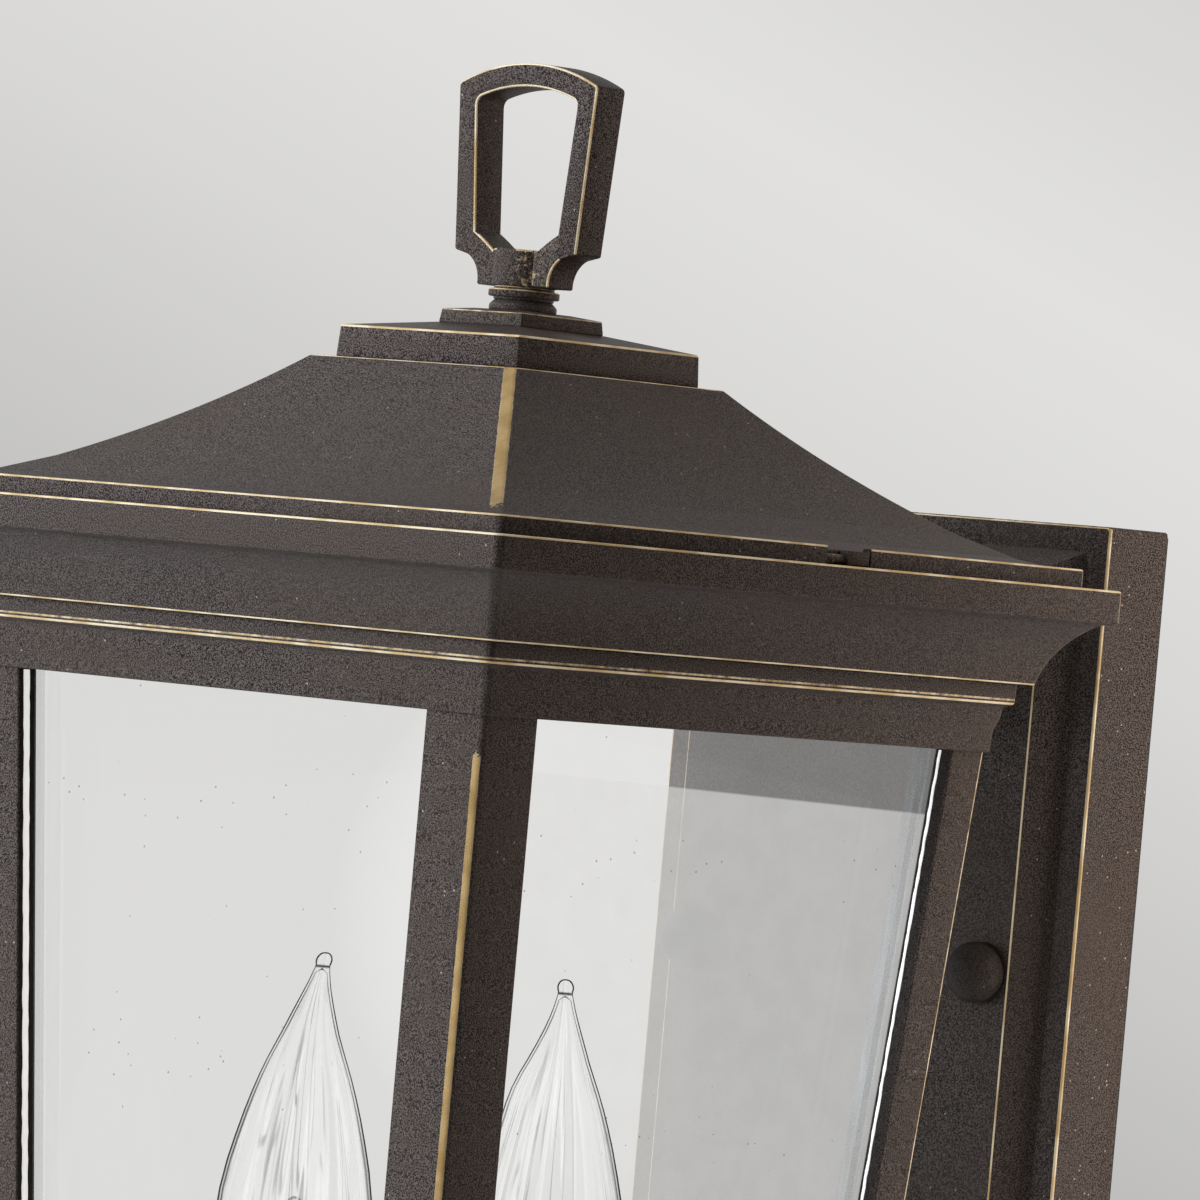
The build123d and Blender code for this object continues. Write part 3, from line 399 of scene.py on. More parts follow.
def stands_for(piece, node):
    """The piece replaces this node and rides on its body."""
    record = frame["record"]
    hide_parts(node)
    body = [b for b, members in record["behaviour"]["bodies"].items() if node in members][0]
    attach(piece, body)
    return piece


def filleted(corners, closed, steps=3):
    """Rounds the corners of an outline: corners are (x, y, radius, wear). Returns points, and for
    each the wear of the stretch that follows it."""
    points, wears = [], []
    count = len(corners)
    for index, (x, y, radius, wear_and_glint) in enumerate(corners):
        here = Vector((x, y))
        ends = not closed and index in (0, count - 1)
        before = Vector(corners[index - 1][:2]) - here
        after = Vector(corners[(index + 1) % count][:2]) - here
        if ends or radius <= 0:
            points.append(here)
            wears.append(wear_and_glint)
            continue
        turn = math.pi - before.angle(after)
        reach = min(radius * math.tan(turn / 2), 0.45 * before.length, 0.45 * after.length)
        start = here + before.normalized() * reach
        end = here + after.normalized() * reach
        for step in range(steps + 1):
            t = step / steps
            point = start * (1 - t) ** 2 + here * 2 * t * (1 - t) + end * t ** 2
            points.append(point)
            wears.append(wear_and_glint if step < steps else 0.0)
    return points, wears


def rounded_rectangle(half_x, half_y, radius):
    """Points round a rectangle with rounded corners, from the +X side anticlockwise, with one in
    the middle of each side."""
    points = []
    radius = min(radius, half_x, half_y)
    middles = ((0, half_y), (-half_x, 0), (0, -half_y), (half_x, 0))
    for quarter, (sx, sy) in enumerate(((1, 1), (-1, 1), (-1, -1), (1, -1))):
        centre = Vector((sx * (half_x - radius), sy * (half_y - radius)))
        for step in range(CORNER_STEPS + 1):
            angle = math.radians(90 * (quarter + step / CORNER_STEPS))
            points.append(centre + Vector((math.cos(angle), math.sin(angle))) * radius)
        points.append(Vector(middles[quarter]))
    return points


def joined(bm, rows, closed=False):
    """Joins rows of equal count into quads, and the last row to the first or both ends capped.
    Yields each quad with the index of its row and of its place along the row."""
    count = len(rows[0])
    for i in range(len(rows) if closed else len(rows) - 1):
        low, high = rows[i], rows[(i + 1) % len(rows)]
        for j in range(count):
            k = (j + 1) % count
            yield bm.faces.new((low[j], low[k], high[k], high[j])), i, j
    if not closed:
        for row in (rows[0], rows[-1]):
            bm.faces.new(row)
    bmesh.ops.recalc_face_normals(bm, faces=bm.faces)


def ring_mesh(rings, wears, closed):
    """A mesh through rings of points; wears marks the stretches between them."""
    bm = bmesh.new()
    wear_layer = bm.faces.layers.float.new("wear_and_glint")
    rows = [[bm.verts.new(p) for p in ring] for ring in rings]
    for face, i, _ in joined(bm, rows, closed):
        face[wear_layer] = wears[i]
    return bm


def square_turned(name, corners, material, corner_radius):
    """A square form round the lantern's centre line from a closed upright outline of
    (half width, height above the eave, fillet, wear), in millimetres."""
    points, wears = filleted(corners, True)
    rings = []
    for half, height in points:
        ring = rounded_rectangle(half, half, corner_radius if half > 6 else half)
        rings.append([at_eave(p.x, p.y, height) for p in ring])
    return finished(name, ring_mesh(rings, wears, True), material)


def arc_corners(start, middle, end, count):
    """Points on an arc through three (half width, height) points, without its ends."""
    a, b, c = (Vector(p) for p in (start, middle, end))
    aa, bb, cc = (p.length_squared for p in (a, b, c))
    d = 2 * (a.x * (b.y - c.y) + b.x * (c.y - a.y) + c.x * (a.y - b.y))
    centre_x = (aa * (b.y - c.y) + bb * (c.y - a.y) + cc * (a.y - b.y)) / d
    centre_y = (aa * (c.x - b.x) + bb * (a.x - c.x) + cc * (b.x - a.x)) / d
    first = math.atan2(a.y - centre_y, a.x - centre_x)
    last = math.atan2(c.y - centre_y, c.x - centre_x)
    turn = (last - first + math.pi) % (2 * math.pi) - math.pi
    radius = math.hypot(a.x - centre_x, a.y - centre_y)
    corners = []
    for step in range(1, count):
        angle = first + turn * step / count
        corners.append((centre_x + radius * math.cos(angle), centre_y + radius * math.sin(angle), 0.0, 0.0))
    return corners


def baked(piece):
    """Applies the modifiers of a piece."""
    bpy.context.view_layer.update()
    depsgraph = bpy.context.evaluated_depsgraph_get()
    mesh = bpy.data.meshes.new_from_object(
        piece.evaluated_get(depsgraph), preserve_all_data_layers=True, depsgraph=depsgraph)
    piece.modifiers.clear()
    piece.data = mesh
    return piece


def cut_away(piece, boxes):
    """Cuts boxes of (low corner, high corner) out of a piece."""
    bm = bmesh.new()
    bm.faces.layers.float.new("wear_and_glint")
    for low, high in boxes:
        size = Vector(high) - Vector(low)
        middle = (Vector(high) + Vector(low)) / 2
        made = bmesh.ops.create_cube(bm, size=1.0)
        bmesh.ops.scale(bm, vec=size, verts=made["verts"])
        bmesh.ops.translate(bm, vec=middle, verts=made["verts"])
    mesh = bpy.data.meshes.new("cutter")
    bm.to_mesh(mesh)
    bm.free()
    cutter = bpy.data.objects.new("cutter", mesh)
    bpy.context.scene.collection.objects.link(cutter)
    modifier = piece.modifiers.new("cut", "BOOLEAN")
    modifier.object = cutter
    modifier.operation = "DIFFERENCE"
    modifier.solver = "EXACT"
    baked(piece)
    bpy.data.objects.remove(cutter)
    piece.data.set_sharp_from_angle(angle=math.radians(SMOOTH_ANGLE))
    return piece


def node_form(node):
    """A node's mesh with its running edges and flat facets joined."""
    bm = bmesh.new()
    bm.from_mesh(nodes[node].data)
    bmesh.ops.remove_doubles(bm, verts=bm.verts, dist=MERGE)
    bmesh.ops.dissolve_limit(bm, angle_limit=math.radians(0.6), verts=bm.verts, edges=bm.edges)
    return bm


def softened(node, material, width, worn_edge=None, spatter_and_highlight=None, held=True):
    """A copy of a node's form with its sharp edges rounded. worn_edge tells how worn an edge is
    from its middle and its two faces' normals; held keeps the rounding within the shortest edge."""
    bm = node_form(node)
    least_angle = math.radians(28.0)
    wear_layer = bm.faces.layers.float.new("wear_and_glint")
    sharp = [
        e for e in bm.edges
        if len(e.link_faces) == 2 and e.is_convex and e.calc_face_angle(0.0) > least_angle
    ]
    marks = []
    if worn_edge:
        for e in sharp:
            ends = [v.co.copy() for v in e.verts]
            first, second = (f.normal.copy() for f in e.link_faces)
            share = worn_edge((ends[0] + ends[1]) / 2, first, second)
            if share > 0:
                marks.append((ends[0], ends[1], share))
    made = bmesh.ops.bevel(
        bm, geom=sharp, offset=width * MM, offset_type="OFFSET", segments=2, profile=0.5,
        affect="EDGES", clamp_overlap=held,
    )
    for face in made["faces"]:
        middle = face.calc_center_median()
        for start, end, share in marks:
            along = end - start
            t = (middle - start).dot(along) / along.length_squared
            if -0.02 < t < 1.02 and (start + along * t - middle).length < 0.9 * width * MM:
                face[wear_layer] = max(face[wear_layer], share)
    piece = finished(node + "_form", bm, material, 32.0)
    if spatter_and_highlight:
        layer = piece.data.attributes.new("spatter_and_highlight", "FLOAT", "POINT")
        for index, vertex in enumerate(piece.data.vertices):
            layer.data[index].value = spatter_and_highlight(vertex.co)
    return stands_for(piece, node)


def darkened(piece, share):
    """Darkens a whole piece's paint."""
    layer = piece.data.attributes.new("shade", "FLOAT", "FACE")
    for item in layer.data:
        item.value = share


def level_edges(share, under=0.0):
    """Wear for the edges round upward faces, and round downward ones."""
    def worn(middle, first, second):
        if max(first.z, second.z) > 0.5 > min(first.z, second.z):
            return share
        return under if min(first.z, second.z) < -0.9 else 0.0
    return worn


def loop_wear(middle, first, second):
    """Wear on the front edges of the finial's loop, its right-hand ones most, and its hub's rim."""
    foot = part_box("finial_loop")[0].z
    other = second if first.y < second.y else first
    if min(first.y, second.y) > -0.9:
        rim = max(first.z, second.z) > 0.9 and abs(min(first.z, second.z)) < 0.2
        return 0.6 if rim and middle.z < foot + 9.0 * MM else 0.0
    if other.x > 0.5:
        return 1.0
    if middle.z > foot + 30.0 * MM and abs(other.z) > 0.4:
        return 0.95
    return 0.0


def loop_spatter(place):
    """Brown spatter beside the front of the finial's hub."""
    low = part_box("finial_loop")[0]
    x = (place.x - AXIS.x) / MM - 4.8
    y = (place.y - AXIS.y) / MM + 4.8
    if place.z < low.z + 9.0 * MM:
        return math.exp(-(x * x + y * y) / 5.0)
    return 0.0


def roll_painted_highlight(place):
    """Painted highlight on the rolled front halves of the roof's catches, as a pale brown mottle."""
    return 1.0 if place.y < AXIS.y + 14.0 * MM else 0.0


def glint(piece, share, low, high):
    """Paints a thin highlight line on the rear right corner between two heights above the eave, in
    millimetres, in the same gold as the worn edges."""
    wear_and_glint = piece.data.attributes["wear_and_glint"]
    for polygon in piece.data.polygons:
        x, y, z = polygon.normal
        height = (polygon.center.z - EAVE) / MM
        on_corner = min(x, y) > 0.5 * math.hypot(x, y) and polygon.center.y > AXIS.y
        if on_corner and low < height < high:
            wear_and_glint.data[polygon.index].value = max(wear_and_glint.data[polygon.index].value, share)


# The lantern's pieces

def crown_piece(material):
    """Rim, fascia and cove, with the two catch notches cut through the rim."""
    rim_outer = 89.9
    rim_inner = 87.4
    inside = 79.0
    cove_low = (84.0, COVE_FOOT)
    cove_high = (93.3, -7.8)
    cove = arc_corners(cove_low, (87.3, -13.9), cove_high, 12)
    corners = [(*cove_low, 0.45, 0.9)] + cove + [
        (*cove_high, 0.0, 0.0),
        (FASCIA_HALF, -7.3, 0.5, 0.0),
        (FASCIA_HALF, 0.0, 0.45, 0.95),
        (rim_outer, 0.0, 0.0, 0.0),
        (rim_outer, RIM_RISE, 0.4, 0.9),
        (rim_inner, RIM_RISE, 0.4, 0.3),
        (rim_inner, 0.0, 0.0, 0.0),
        (inside, 0.0, 0.4, 0.0),
        (inside, COVE_FOOT, 0.4, 0.0),
    ]
    piece = square_turned("crown_moulding", corners, material, 2.2)
    # Painted highlights along the rear right corner of the fascia and the rim
    glint(piece, 0.9, -7.0, 0.0)
    glint(piece, 0.9, 0.5, RIM_RISE)
    boxes = []
    for side in (-1, 1):
        x_low, x_high = sorted((side * 84.0, side * 93.0))
        boxes.append((at_eave(x_low, 7.4, 0.05), at_eave(x_high, 21.0, 6.0)))
    cut_away(piece, boxes)
    return stands_for(piece, "crown")


def rail_piece(material):
    """Banded rail under the crown, most worn on the band's lower edge."""
    inside = 72.2
    corners = [
        (77.9, POST_TOP, 0.5, 0.0),
        (78.2, -32.5, 0.0, 0.0),
        (79.1, -29.9, 0.5, 0.0),
        (79.4, -27.4, 0.3, 0.0),
        (81.1, -26.5, 0.8, 1.0),
        (81.12, -25.75, 0.0, 0.50),
        (81.14, -25.35, 0.0, 0.40),
        (81.16, -25.0, 0.0, 0.0),
        (81.3, COVE_FOOT, 0.3, 0.0),
        (inside, COVE_FOOT, 0.3, 0.0),
        (inside, POST_TOP, 0.3, 0.0),
    ]
    return stands_for(square_turned("rail_moulding", corners, material, 2.0), "top_rail")


def roof_piece(material):
    """Concave roof shell; its hips carry the stripe coordinates."""
    top = (32.0, 35.8)
    low = (69.7, 9.1)
    stud_hole = 3.4
    wall = 2.5
    eave_outer = 87.1
    eave_inner = 84.6
    rim = [(eave_outer, 0.0, 0.3, 0.0), (eave_outer, 3.2, 0.5, 0.0), (79.0, 5.0, 3.0, 0.0), (*low, 3.0, 0.0)]
    sweep = arc_corners(low, (51.2, 20.5), top, 16)
    crest = [(*top, 0.75, 1.0), (stud_hole, top[1], 0.0, 0.0), (stud_hole, top[1] - wall, 0.0, 0.0)]
    slope = [low] + [corner[:2] for corner in sweep] + [top]
    inner = [(x - wall / 2, z - wall, 0.0, 0.0) for x, z in reversed(slope)]
    inner += [(77.7, 2.5, 0.0, 0.0), (eave_inner, 0.7, 0.0, 0.0), (eave_inner, 0.0, 0.0, 0.0)]
    piece = square_turned("roof_shell", rim + sweep + crest + inner, material, 1.0)
    mark_stripe(piece, 5.9, 0.58)
    # Painted highlight along the roof's rear right hip
    glint(piece, 0.8, 1.0, 24.0)
    return stands_for(piece, "roof")


def mark_stripe(piece, end, narrow):
    """Gives each point its distance across the front right corner and up from the stripe's end,
    which the worn stripe follows. Across is positive on the front face, and narrow makes the
    stripe wider where it is less than one."""
    mesh = piece.data
    across = mesh.attributes.new("stripe_across", "FLOAT", "POINT")
    along = mesh.attributes.new("stripe_along", "FLOAT", "POINT")
    for index, vertex in enumerate(mesh.vertices):
        x = vertex.co.x - AXIS.x
        y = vertex.co.y - AXIS.y
        across.data[index].value = (abs(y) - abs(x)) * narrow
        near = x > -MM and y < MM
        along.data[index].value = STRIPE_BASE + vertex.co.z - EAVE - end * MM if near else AWAY


def cage_half(height):
    """Half width over the posts at a height above the eave, in millimetres."""
    return CAGE_HALF + (height - POST_TOP) * CAGE_SLOPE


def post_piece(node, side_x, side_y, legs, material):
    """A leaning angle post with rounded edges and the stripe coordinates on its outer corner; legs
    are its widths along X and Y."""
    in_front = side_y < 0
    corner_radius, corner_wear, end_shade = (1.6, 0.0, 1.0) if in_front else (0.6, 0.52, 0.55)
    outline = [
        (0.0, 0.0, corner_radius, corner_wear),
        (0.0, -legs[1], 0.5, 0.0),
        (-POST_THICK, -legs[1], 0.4, 0.0),
        (-POST_THICK, -POST_THICK, 0.0, 0.0),
        (-legs[0], -POST_THICK, 0.4, 0.0),
        (-legs[0], 0.0, 0.5, 0.0),
    ]
    points, wears = filleted(outline, True, 5)
    bm = bmesh.new()
    wear_layer = bm.faces.layers.float.new("wear_and_glint")
    shade_layer = bm.faces.layers.float.new("shade")
    across_layer = bm.verts.layers.float.new("stripe_across")
    along_layer = bm.verts.layers.float.new("stripe_along")
    rows = []
    stations = 12
    for step in range(stations + 1):
        drop = POST_LENGTH * step / stations
        half = cage_half(POST_TOP - drop)
        row = []
        for point in points:
            x = side_x * (half + point.x)
            y = side_y * (half + point.y)
            vertex = bm.verts.new(at_eave(x, y, POST_TOP - drop))
            vertex[across_layer] = (point.y - point.x) * MM
            vertex[along_layer] = STRIPE_BASE + (drop - STRIPE_DROP) * MM if in_front else AWAY
            row.append(vertex)
        rows.append(row)
    for face, _, j in joined(bm, rows):
        middle = (points[j] + points[(j + 1) % len(points)]) / 2
        face[wear_layer] = wears[j]
        # Painted shade on the legs' end and inner faces, in shadow beside the glass, lighter on the rear posts
        face[shade_layer] = end_shade if max(middle.x, middle.y) < -0.5 else 0.0
    return stands_for(finished(node + "_casting", bm, material), node)


def seam_strip(node, side_x, side_y, leg, on_front, depth, wide, material):
    """Chipped strip of glazing sealant down the end face of a post's leg."""
    draw = random.Random(node)
    proud = 0.30
    sunk = 0.1
    overrun = 0.3
    bm = bmesh.new()
    rows = []
    stations = 110
    for step in range(stations + 1):
        height = POST_TOP - overrun - (POST_LENGTH - 2 * overrun) * step / stations
        half = cage_half(height)
        near = depth - wide + draw.uniform(-0.12, 0.12)
        far = depth + wide + draw.uniform(-0.12, 0.12)
        middle = (near + far) / 2
        section = ((near, -sunk), (near, proud * 0.6), (middle, proud), (far, proud * 0.6), (far, -sunk))
        row = []
        for inset, rise in section:
            outward = half - inset
            inward = half - leg - rise
            x, y = (inward, outward) if on_front else (outward, inward)
            row.append(bm.verts.new(at_eave(side_x * x, side_y * y, height)))
        rows.append(row)
    for _ in joined(bm, rows):
        pass
    piece = finished(node, bm, material, 50.0)
    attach(piece, "fixture")


def pane_piece(node, material):
    """A pane with finely ground edges; its cut edges are marked."""
    bm = node_form(node)
    edge_layer = bm.faces.layers.float.new("cut_edge")
    areas = sorted((f.calc_area() for f in bm.faces), reverse=True)
    for face in bm.faces:
        face[edge_layer] = 0.0 if face.calc_area() > areas[1] * 0.9 else 1.0
    made = bmesh.ops.bevel(
        bm, geom=list(bm.edges), offset=0.25 * MM, segments=1, affect="EDGES", clamp_overlap=True)
    for face in made["faces"]:
        face[edge_layer] = 1.0
    return stands_for(finished(node + "_sheet", bm, material, 20.0), node)


def plate_piece(material):
    """Wall plate: pan with a bevelled raised panel, hollow at the back. Its outline is (inset from
    the side, depth from the wall, fillet, wear), and the frame at its ends is narrower."""
    low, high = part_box("wall_plate")
    half_x = (high.x - low.x) / 2 / MM
    half_z = (high.z - low.z) / 2 / MM
    middle = (high.z + low.z) / 2
    back = 1.5
    skin = 2.5
    rim = 20.8
    front = 28.0
    border, bevel = 6.5, 6.0
    end_border, end_bevel = 5.9, 4.6
    panel_centre = 60.0

    def end_inset(inset):
        if inset <= border:
            return inset * end_border / border
        if inset <= border + bevel:
            return end_border + (inset - border) * end_bevel / bevel
        return end_border + end_bevel + (inset - border - bevel)

    outline = [
        (panel_centre, front, 0.0, 0.0),
        (border + bevel, front, 0.5, 0.8),
        (border, rim, 0.0, 0.0),
        (0.0, rim, 0.55, 1.0),
        (0.0, back, 0.3, 0.2),
        (skin, back, 0.3, 0.0),
        (skin, rim - skin, 0.0, 0.0),
        (border + skin, rim - skin, 0.0, 0.0),
        (border + bevel + skin, front - skin, 0.0, 0.0),
        (panel_centre, front - skin, 0.0, 0.0),
    ]
    points, wears = filleted(outline, False)
    rings = []
    for inset, depth in points:
        radius = 0.8 if inset < border - 0.1 else 0.4
        ring = rounded_rectangle(half_x - inset, half_z - end_inset(inset), radius)
        rings.append([Vector((p.x * MM, -depth * MM, middle + p.y * MM)) for p in ring])
    piece = finished("wall_plate_casting", ring_mesh(rings, wears, False), material)
    wear_and_glint = piece.data.attributes["wear_and_glint"]
    for polygon in piece.data.polygons:
        if abs(polygon.normal.z) > 0.4:
            wear_and_glint.data[polygon.index].value *= 0.45
    return stands_for(piece, "wall_plate")


# Radius and depth below the tip of the flame-shaped glass: bead, neck, flame, shoulder and foot
LAMP_OUTLINE = (
    (0.0, 0.0), (0.7, 0.1), (1.2, 0.4), (1.6, 0.95), (1.82, 1.6), (1.8, 2.2), (1.66, 2.75), (1.62, 3.1),
    (1.7, 3.6), (1.95, 4.6), (2.35, 6.2), (2.95, 8.2), (3.9, 11.0), (5.1, 14.4), (6.3, 17.8), (7.6, 21.0),
    (8.9, 24.2), (10.2, 27.6), (11.5, 31.4), (12.9, 36.0), (14.4, 41.6), (15.7, 47.0), (16.8, 53.4),
    (17.3, 60.0), (16.8, 64.6), (15.2, 68.6), (12.8, 71.8), (10.2, 74.2), (8.3, 76.0), (7.3, 77.6),
    (7.2, 80.0),
)
BEAD_DEPTH = 2.8
NECK_DEPTH = 3.1
LAMP_STEPS = 128


def inner_outline(wall):
    """The glass's inner outline: solid at the bead, and a little short of the foot."""
    inner = [(0.0, 3.5)]
    inner += [(radius - wall, depth) for radius, depth in LAMP_OUTLINE[1:-1] if depth >= 4.5]
    radius, depth = LAMP_OUTLINE[-1]
    return inner + [(radius - wall, depth - 0.9)]


def lamp_piece(side, bend, shoulder, seed, material):
    """Double-walled lamp glass with soft flutes, a tip bent to one side and a swelling on the other.
    bend and shoulder are their sizes in millimetres, to the photograph's right and left."""
    glass = "lamp_glass_" + side
    low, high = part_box(glass)
    centre = Vector(((low.x + high.x) / 2, (low.y + high.y) / 2))
    draw = random.Random(seed)
    waves = [
        (count, draw.uniform(0.4, 1.0), draw.uniform(0, 2 * math.pi)) for count in (5, 7, 9, 11, 14, 17)
    ]
    right_angle = math.pi / 4
    right = Vector((math.cos(right_angle), math.sin(right_angle)))
    bm = bmesh.new()
    names = ("turn_x", "turn_y", "turn_depth", "bead", "neck")
    layers = {name: bm.verts.layers.float.new(name) for name in names}

    def point(radius, depth, angle):
        aside = right * bend * max(0.0, 1 - depth / 26.0) ** 2
        x = centre.x + (aside.x + radius * math.cos(angle)) * MM
        y = centre.y + (aside.y + radius * math.sin(angle)) * MM
        vertex = bm.verts.new((x, y, high.z - depth * MM))
        vertex[layers["turn_x"]] = math.cos(angle)
        vertex[layers["turn_y"]] = math.sin(angle)
        vertex[layers["turn_depth"]] = depth * 0.0022 + seed
        fading = 0.55 * max(0.0, 1.0 - (depth - NECK_DEPTH - 0.5) / 20.0)
        vertex[layers["bead"]] = 1.0 if depth < BEAD_DEPTH else fading
        vertex[layers["neck"]] = 1.0 if abs(depth - NECK_DEPTH) < 0.2 else 0.0
        return vertex

    def ring(radius, depth, ripple_share, sunk):
        flute = 0.12 * min(1.0, max(0.0, (depth - 4.0) / 22.0)) * min(1.0, max(0.0, (78.0 - depth) / 14.0))
        swell = shoulder * math.exp(-((depth - 23.0) / 9.0) ** 2)
        row = []
        for step in range(LAMP_STEPS):
            angle = 2 * math.pi * step / LAMP_STEPS
            ripple = sum(a * math.sin(n * angle + p + 0.012 * n * depth) for n, a, p in waves) / len(waves)
            leftward = max(0.0, -math.cos(angle - right_angle)) ** 2
            reach = radius + swell * leftward + flute * (ripple * ripple_share - sunk)
            row.append(point(reach, depth, angle))
        return row

    def shell(outline, ripple_share, sunk):
        tip = point(0.0, outline[0][1], 0.0)
        rows = [ring(radius, depth, ripple_share, sunk) for radius, depth in outline[1:]]
        faces = [bm.faces.new((tip, rows[0][j], rows[0][(j + 1) % LAMP_STEPS])) for j in range(LAMP_STEPS)]
        for a, b in zip(rows, rows[1:]):
            for j in range(LAMP_STEPS):
                k = (j + 1) % LAMP_STEPS
                faces.append(bm.faces.new((a[j], b[j], b[k], a[k])))
        faces.append(bm.faces.new(rows[-1]))
        bmesh.ops.recalc_face_normals(bm, faces=faces)
        return faces

    shell(LAMP_OUTLINE, 0.25, 0.0)
    bmesh.ops.reverse_faces(bm, faces=shell(inner_outline(0.6), 1.0, 0.3))
    return stands_for(finished("lamp_envelope_" + side, bm, material, 50.0), glass)


def painted_pieces():
    """Everything that is painted bronze."""
    metal = bronze()
    crown_piece(metal)
    rail_piece(metal)
    roof_piece(metal)
    for name, side_x, side_y, legs, _, _ in POSTS:
        post_piece("post_" + name, side_x, side_y, legs, metal)
    plate_piece(metal)
    for node, width, worn in (
        ("roof_cap_large", 0.5, level_edges(0.9)), ("roof_cap_small", 0.4, level_edges(0.5)),
        ("finial_washer", 0.3, None), ("finial_collar", 0.3, level_edges(0.5)),
        ("foot_frame", 0.5, level_edges(0.8, 0.6)), ("tray", 0.4, level_edges(0.3)),
        ("base_step_large", 0.5, level_edges(0.7, 0.6)), ("base_step_small", 0.5, level_edges(0.7, 0.6)),
        ("arm", 0.6, level_edges(0.6, 0.5)), ("drop_finial", 0.4, level_edges(0.6)),
    ):
        softened(node, metal, width, worn)
    for node in ("cap_nut_left", "cap_nut_right"):
        darkened(softened(node, metal, 0.3), 0.6)
    # The catches' rolled fronts get a painted highlight through the spatter mottle
    softened("roof_catches", metal, 0.12, level_edges(0.6), spatter_and_highlight=roll_painted_highlight)
    softened("finial_loop", metal, 0.42, loop_wear, spatter_and_highlight=loop_spatter, held=False)


def glass_pieces():
    """Panes, the sealant beside them and the lamps."""
    clear = pane_glass("clear_pane")
    for node in ("pane_front", "pane_left", "pane_right"):
        pane_piece(node, clear)
    # The rear pane carries the painted glow and the crown's painted shadow line
    pane_piece("pane_rear", pane_glass("glowing_haze_pane", (0.4104, 0.1292)))
    # The sealant carries a painted glow: emitted light standing in for light shining through the gaps beside
    # the glass
    sealant = simple("glazing_sealant", (0.80, 0.79, 0.76), (0.95, 0.94, 0.92), 700.0, 0.6, bump=0.2, glow_strength=0.45)
    for name, side_x, side_y, legs, depth, wide in POSTS:
        seam_strip(f"sealant_{name}_front", side_x, side_y, legs[0], True, depth, wide, sealant)
        seam_strip(f"sealant_{name}_side", side_x, side_y, legs[1], False, depth, wide, sealant)
    blown = blown_glass()
    lamp_piece("left", 2.0, 0.0, 3, blown)
    lamp_piece("right", -0.5, 1.3, 8, blown)


def plain_pieces():
    """Nodes that keep their own form and take a material of their own."""
    steel = simple("zinc_steel", (0.50, 0.50, 0.47), (0.66, 0.66, 0.64), 220.0, 0.32, 0.95, 0.08,
                   stretch=(1.0, 1.0, 0.2))
    plastic = simple("wire_cap_plastic", (0.70, 0.22, 0.03), (0.85, 0.32, 0.06), 200.0, 0.3, bump=0.05,
                     coat=0.3)
    rubber = simple("black_rubber", (0.010, 0.010, 0.010), (0.025, 0.025, 0.025), 600.0, 0.7, 0.0, 0.15)
    phenolic = simple("socket_black", (0.012, 0.012, 0.012), (0.03, 0.028, 0.026), 400.0, 0.35, 0.0, 0.06)
    candle = simple("candle_bronze", (0.035, 0.028, 0.022), (0.065, 0.052, 0.042), 900.0, 0.4, 0.2, 0.1)
    brass = simple("lamp_cap_brass", (0.62, 0.43, 0.18), (0.78, 0.58, 0.30), 260.0, 0.25, 1.0, 0.05)
    wire = simple("filament_wire", (0.25, 0.24, 0.23), (0.45, 0.44, 0.42), 700.0, 0.35, 0.9, 0.05)
    green = simple("ground_green", (0.02, 0.16, 0.05), (0.05, 0.30, 0.10), 300.0, 0.3, 0.6, 0.05)
    lead = simple("lead_insulation", (0.015, 0.015, 0.015), (0.035, 0.035, 0.035), 500.0, 0.4, 0.0, 0.05)
    plain = {
        steel: ("cross_bar", "cross_bar_screws", "roof_stud", "stud_nuts", "mounting_strap", "fixing_studs",
                "stud_lock_nuts", "arm_screws", "cluster_bar", "nipple", "nipple_nuts"),
        silicone(): ("glazing_beads",),
        rubber: ("wall_gasket",),
        phenolic: ("lamp_socket_left", "lamp_socket_right"),
        candle: ("candle_sleeve_left", "candle_sleeve_right"),
        brass: ("lamp_base_left", "lamp_base_right"),
        wire: ("lamp_filament_left", "lamp_filament_right"),
        green: ("ground_screw",),
        lead: ("supply_leads",),
        plastic: ("wire_caps",),
    }
    for material, names in plain.items():
        for name in names:
            mesh = nodes[name].data
            mesh.materials.clear()
            mesh.materials.append(material)


# Stage, light and camera

def stage_floor():
    """Plain pale floor, well below the lantern."""
    material, tree, shader = new_material("stage_floor")
    tone = mixed(tree, ranged(tree, noise(tree, 3.0), 0.3, 0.7), (0.64, 0.64, 0.63), (0.68, 0.68, 0.67))
    tree.links.new(tone, shader.inputs["Base Color"])
    shader.inputs["Roughness"].default_value = 0.8
    bm = bmesh.new()
    bmesh.ops.create_grid(bm, x_segments=24, y_segments=24, size=2.6)
    floor = finished("stage_floor", bm, material)
    floor.location = (0.0, 0.0, -1.4)


def soft_light(name, offset, target_offset, size, power, colour):
    """A rectangular lamp placed and aimed from the middle of the lantern's centre line."""
    middle = Vector((0.0, AXIS.y, 0.0))
    data = bpy.data.lights.new(name, "AREA")
    data.shape = "RECTANGLE"
    data.size, data.size_y = size
    data.energy = power
    data.color = colour
    light = bpy.data.objects.new(name, data)
    bpy.context.scene.collection.objects.link(light)
    light.visible_camera = False
    light.visible_glossy = False
    light.location = middle + Vector(offset)
    aim = Vector(target_offset) - Vector(offset)
    light.rotation_euler = aim.to_track_quat("-Z", "Y").to_euler()


def view_axes():
    """The photograph's line of sight and the frame's right and up directions."""
    sight = Vector((-0.702814, 0.711373, -0.000867)).normalized()
    level = sight.cross(Vector((0, 0, 1))).normalized()
    upright = level.cross(sight)
    roll = math.radians(5.052)
    right = level * math.cos(roll) + upright * math.sin(roll)
    up = upright * math.cos(roll) - level * math.sin(roll)
    return sight, right, up


LENS_PX = 9389.7
FRAME_PX = 1200.0
SENSOR = 36.0

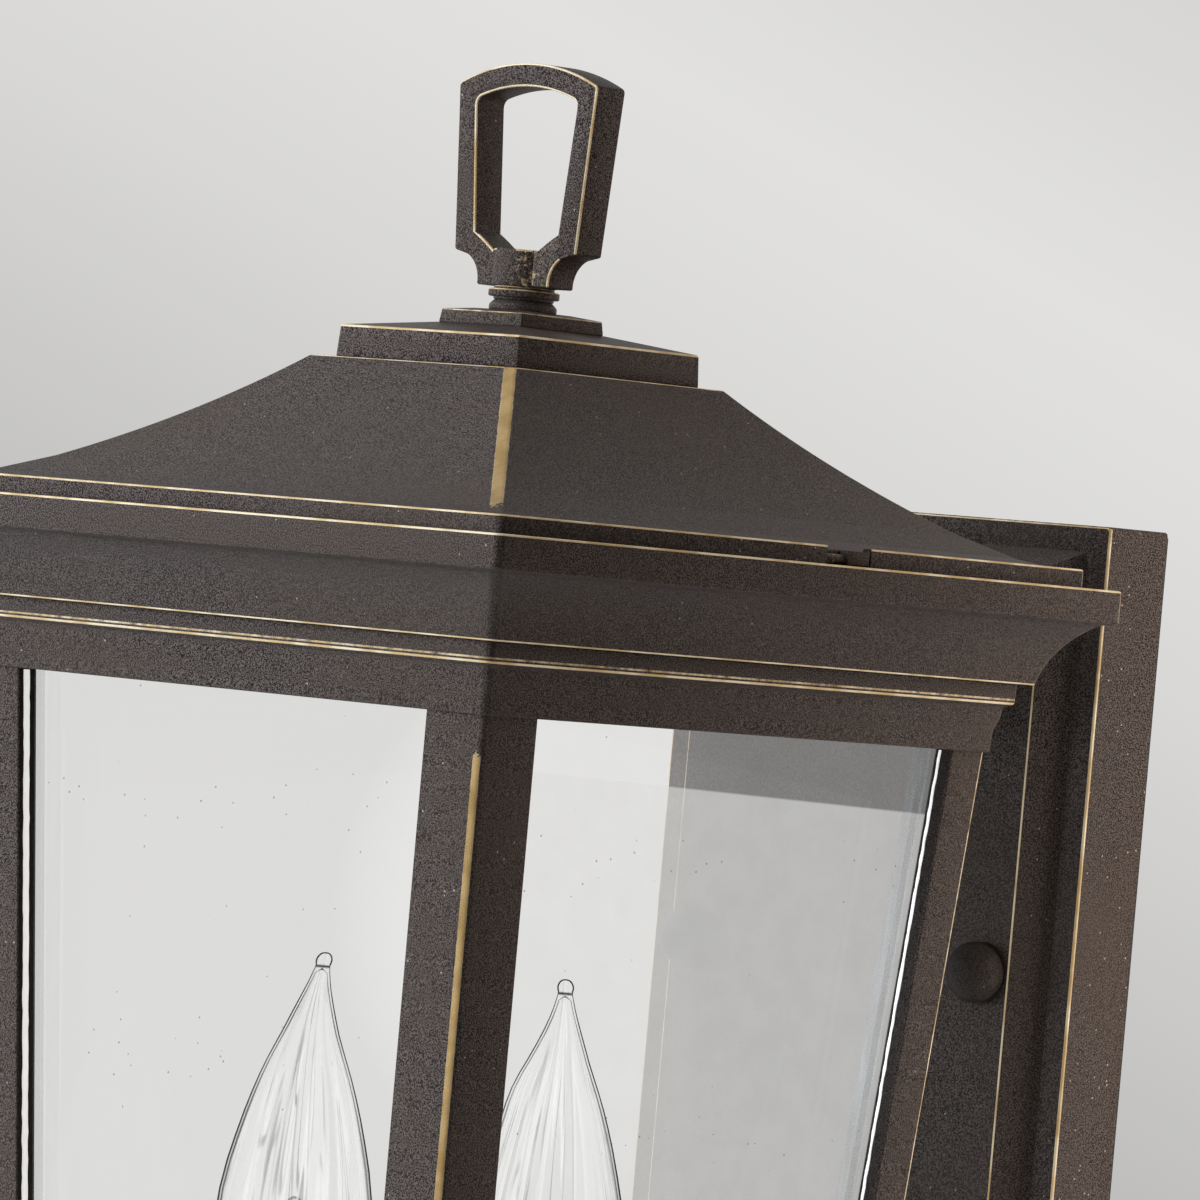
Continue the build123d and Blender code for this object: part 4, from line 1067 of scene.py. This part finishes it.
# Bright spots of the wall behind, as offsets to the right and up and cone half angles, in radians
SPOTS = (
    (-0.046, -0.036, 0.058, 0.034, 0.755),
    (0.002, -0.034, 0.046, 0.020, 0.835),
)


def studio():
    """A pale room whose back wall has one soft, slanting band of light, and soft lamps. The room is
    dimmer and warmer on the side away from the key light."""
    world = bpy.data.worlds.new("studio")
    bpy.context.scene.world = world
    world.use_nodes = True
    tree = world.node_tree
    background = tree.nodes["Background"]
    sight, right, up = view_axes()
    direction = add_node(tree, "ShaderNodeTexCoord").outputs["Generated"]

    def along(axis):
        dot = add_node(tree, "ShaderNodeVectorMath", operation="DOT_PRODUCT")
        tree.links.new(direction, dot.inputs[0])
        dot.inputs[1].default_value = axis
        return dot.outputs["Value"]

    slant = along((right * 0.482 + up * 0.876).normalized())
    band = ranged(tree, slant, -0.030, 0.0227, 0.515, 0.694, "LINEAR")
    band = calculate(tree, "ADD", band, ranged(tree, slant, 0.0227, 0.052, 0.0, 0.066, "LINEAR"))
    band = calculate(tree, "SUBTRACT", band, ranged(tree, slant, 0.052, 0.090, 0.0, 0.095, "LINEAR"))
    for aside, rise, wide, core, bright in SPOTS:
        spot = (sight + right * aside + up * rise).normalized()
        glow = ranged(tree, along(spot), math.cos(wide), math.cos(core), 0.5, bright)
        band = calculate(tree, "MAXIMUM", band, glow)
    steepness = calculate(tree, "ABSOLUTE", along(Vector((0.0, 0.0, 1.0))))
    rightward = along(Vector((1.0, 0.0, 0.0)))
    dim = ranged(tree, rightward, -0.25, 0.55, 1.0, 0.50)
    dim = calculate(tree, "MULTIPLY", dim, ranged(tree, steepness, 0.08, 0.6, 1.0, 0.62))
    tint = mixed(tree, ranged(tree, rightward, -0.25, 0.55), (1.0, 0.992, 0.978), (1.0, 0.90, 0.81))
    tone = mixed(tree, calculate(tree, "MULTIPLY", band, dim), (0.0, 0.0, 0.0), tint)
    tree.links.new(tone, background.inputs["Color"])
    background.inputs["Strength"].default_value = 1.0
    soft_light("key_light", (-1.4, -1.95, 0.30), (0.0, 0.0, 0.0), (1.3, 1.3), 122.0, (0.83, 0.91, 1.0))
    soft_light("top_light", (-0.7, -0.9, 1.8), (0.0, 0.0, 0.0), (1.2, 1.2), 30.0, (0.86, 0.93, 1.0))
    soft_light("side_light", (0.20, 0.19, 0.03), (0.08, 0.08, 0.03), (0.08, 0.5), 1.0, (1.0, 0.93, 0.86))
    bpy.context.scene.view_settings.view_transform = "Standard"


def camera():
    """The photograph's viewpoint: a long lens, turned about its own line of sight."""
    place = Vector((15.08578, -14.93940, -0.10459)) * FASCIA_HALF * MM
    place += Vector((AXIS.x, AXIS.y, EAVE))
    sight, right, up = view_axes()
    data = bpy.data.cameras.new("photo_camera")
    data.sensor_width = SENSOR
    data.lens = LENS_PX / FRAME_PX * SENSOR
    data.clip_end = 100.0
    eye = bpy.data.objects.new("photo_camera", data)
    bpy.context.scene.collection.objects.link(eye)
    turn = Matrix((right, up, -sight)).transposed().to_4x4()
    eye.matrix_world = Matrix.Translation(place) @ turn
    bpy.context.scene.camera = eye


camera()
studio()
stage_floor()
painted_pieces()
glass_pieces()
plain_pieces()

bpy.context.view_layer.update()
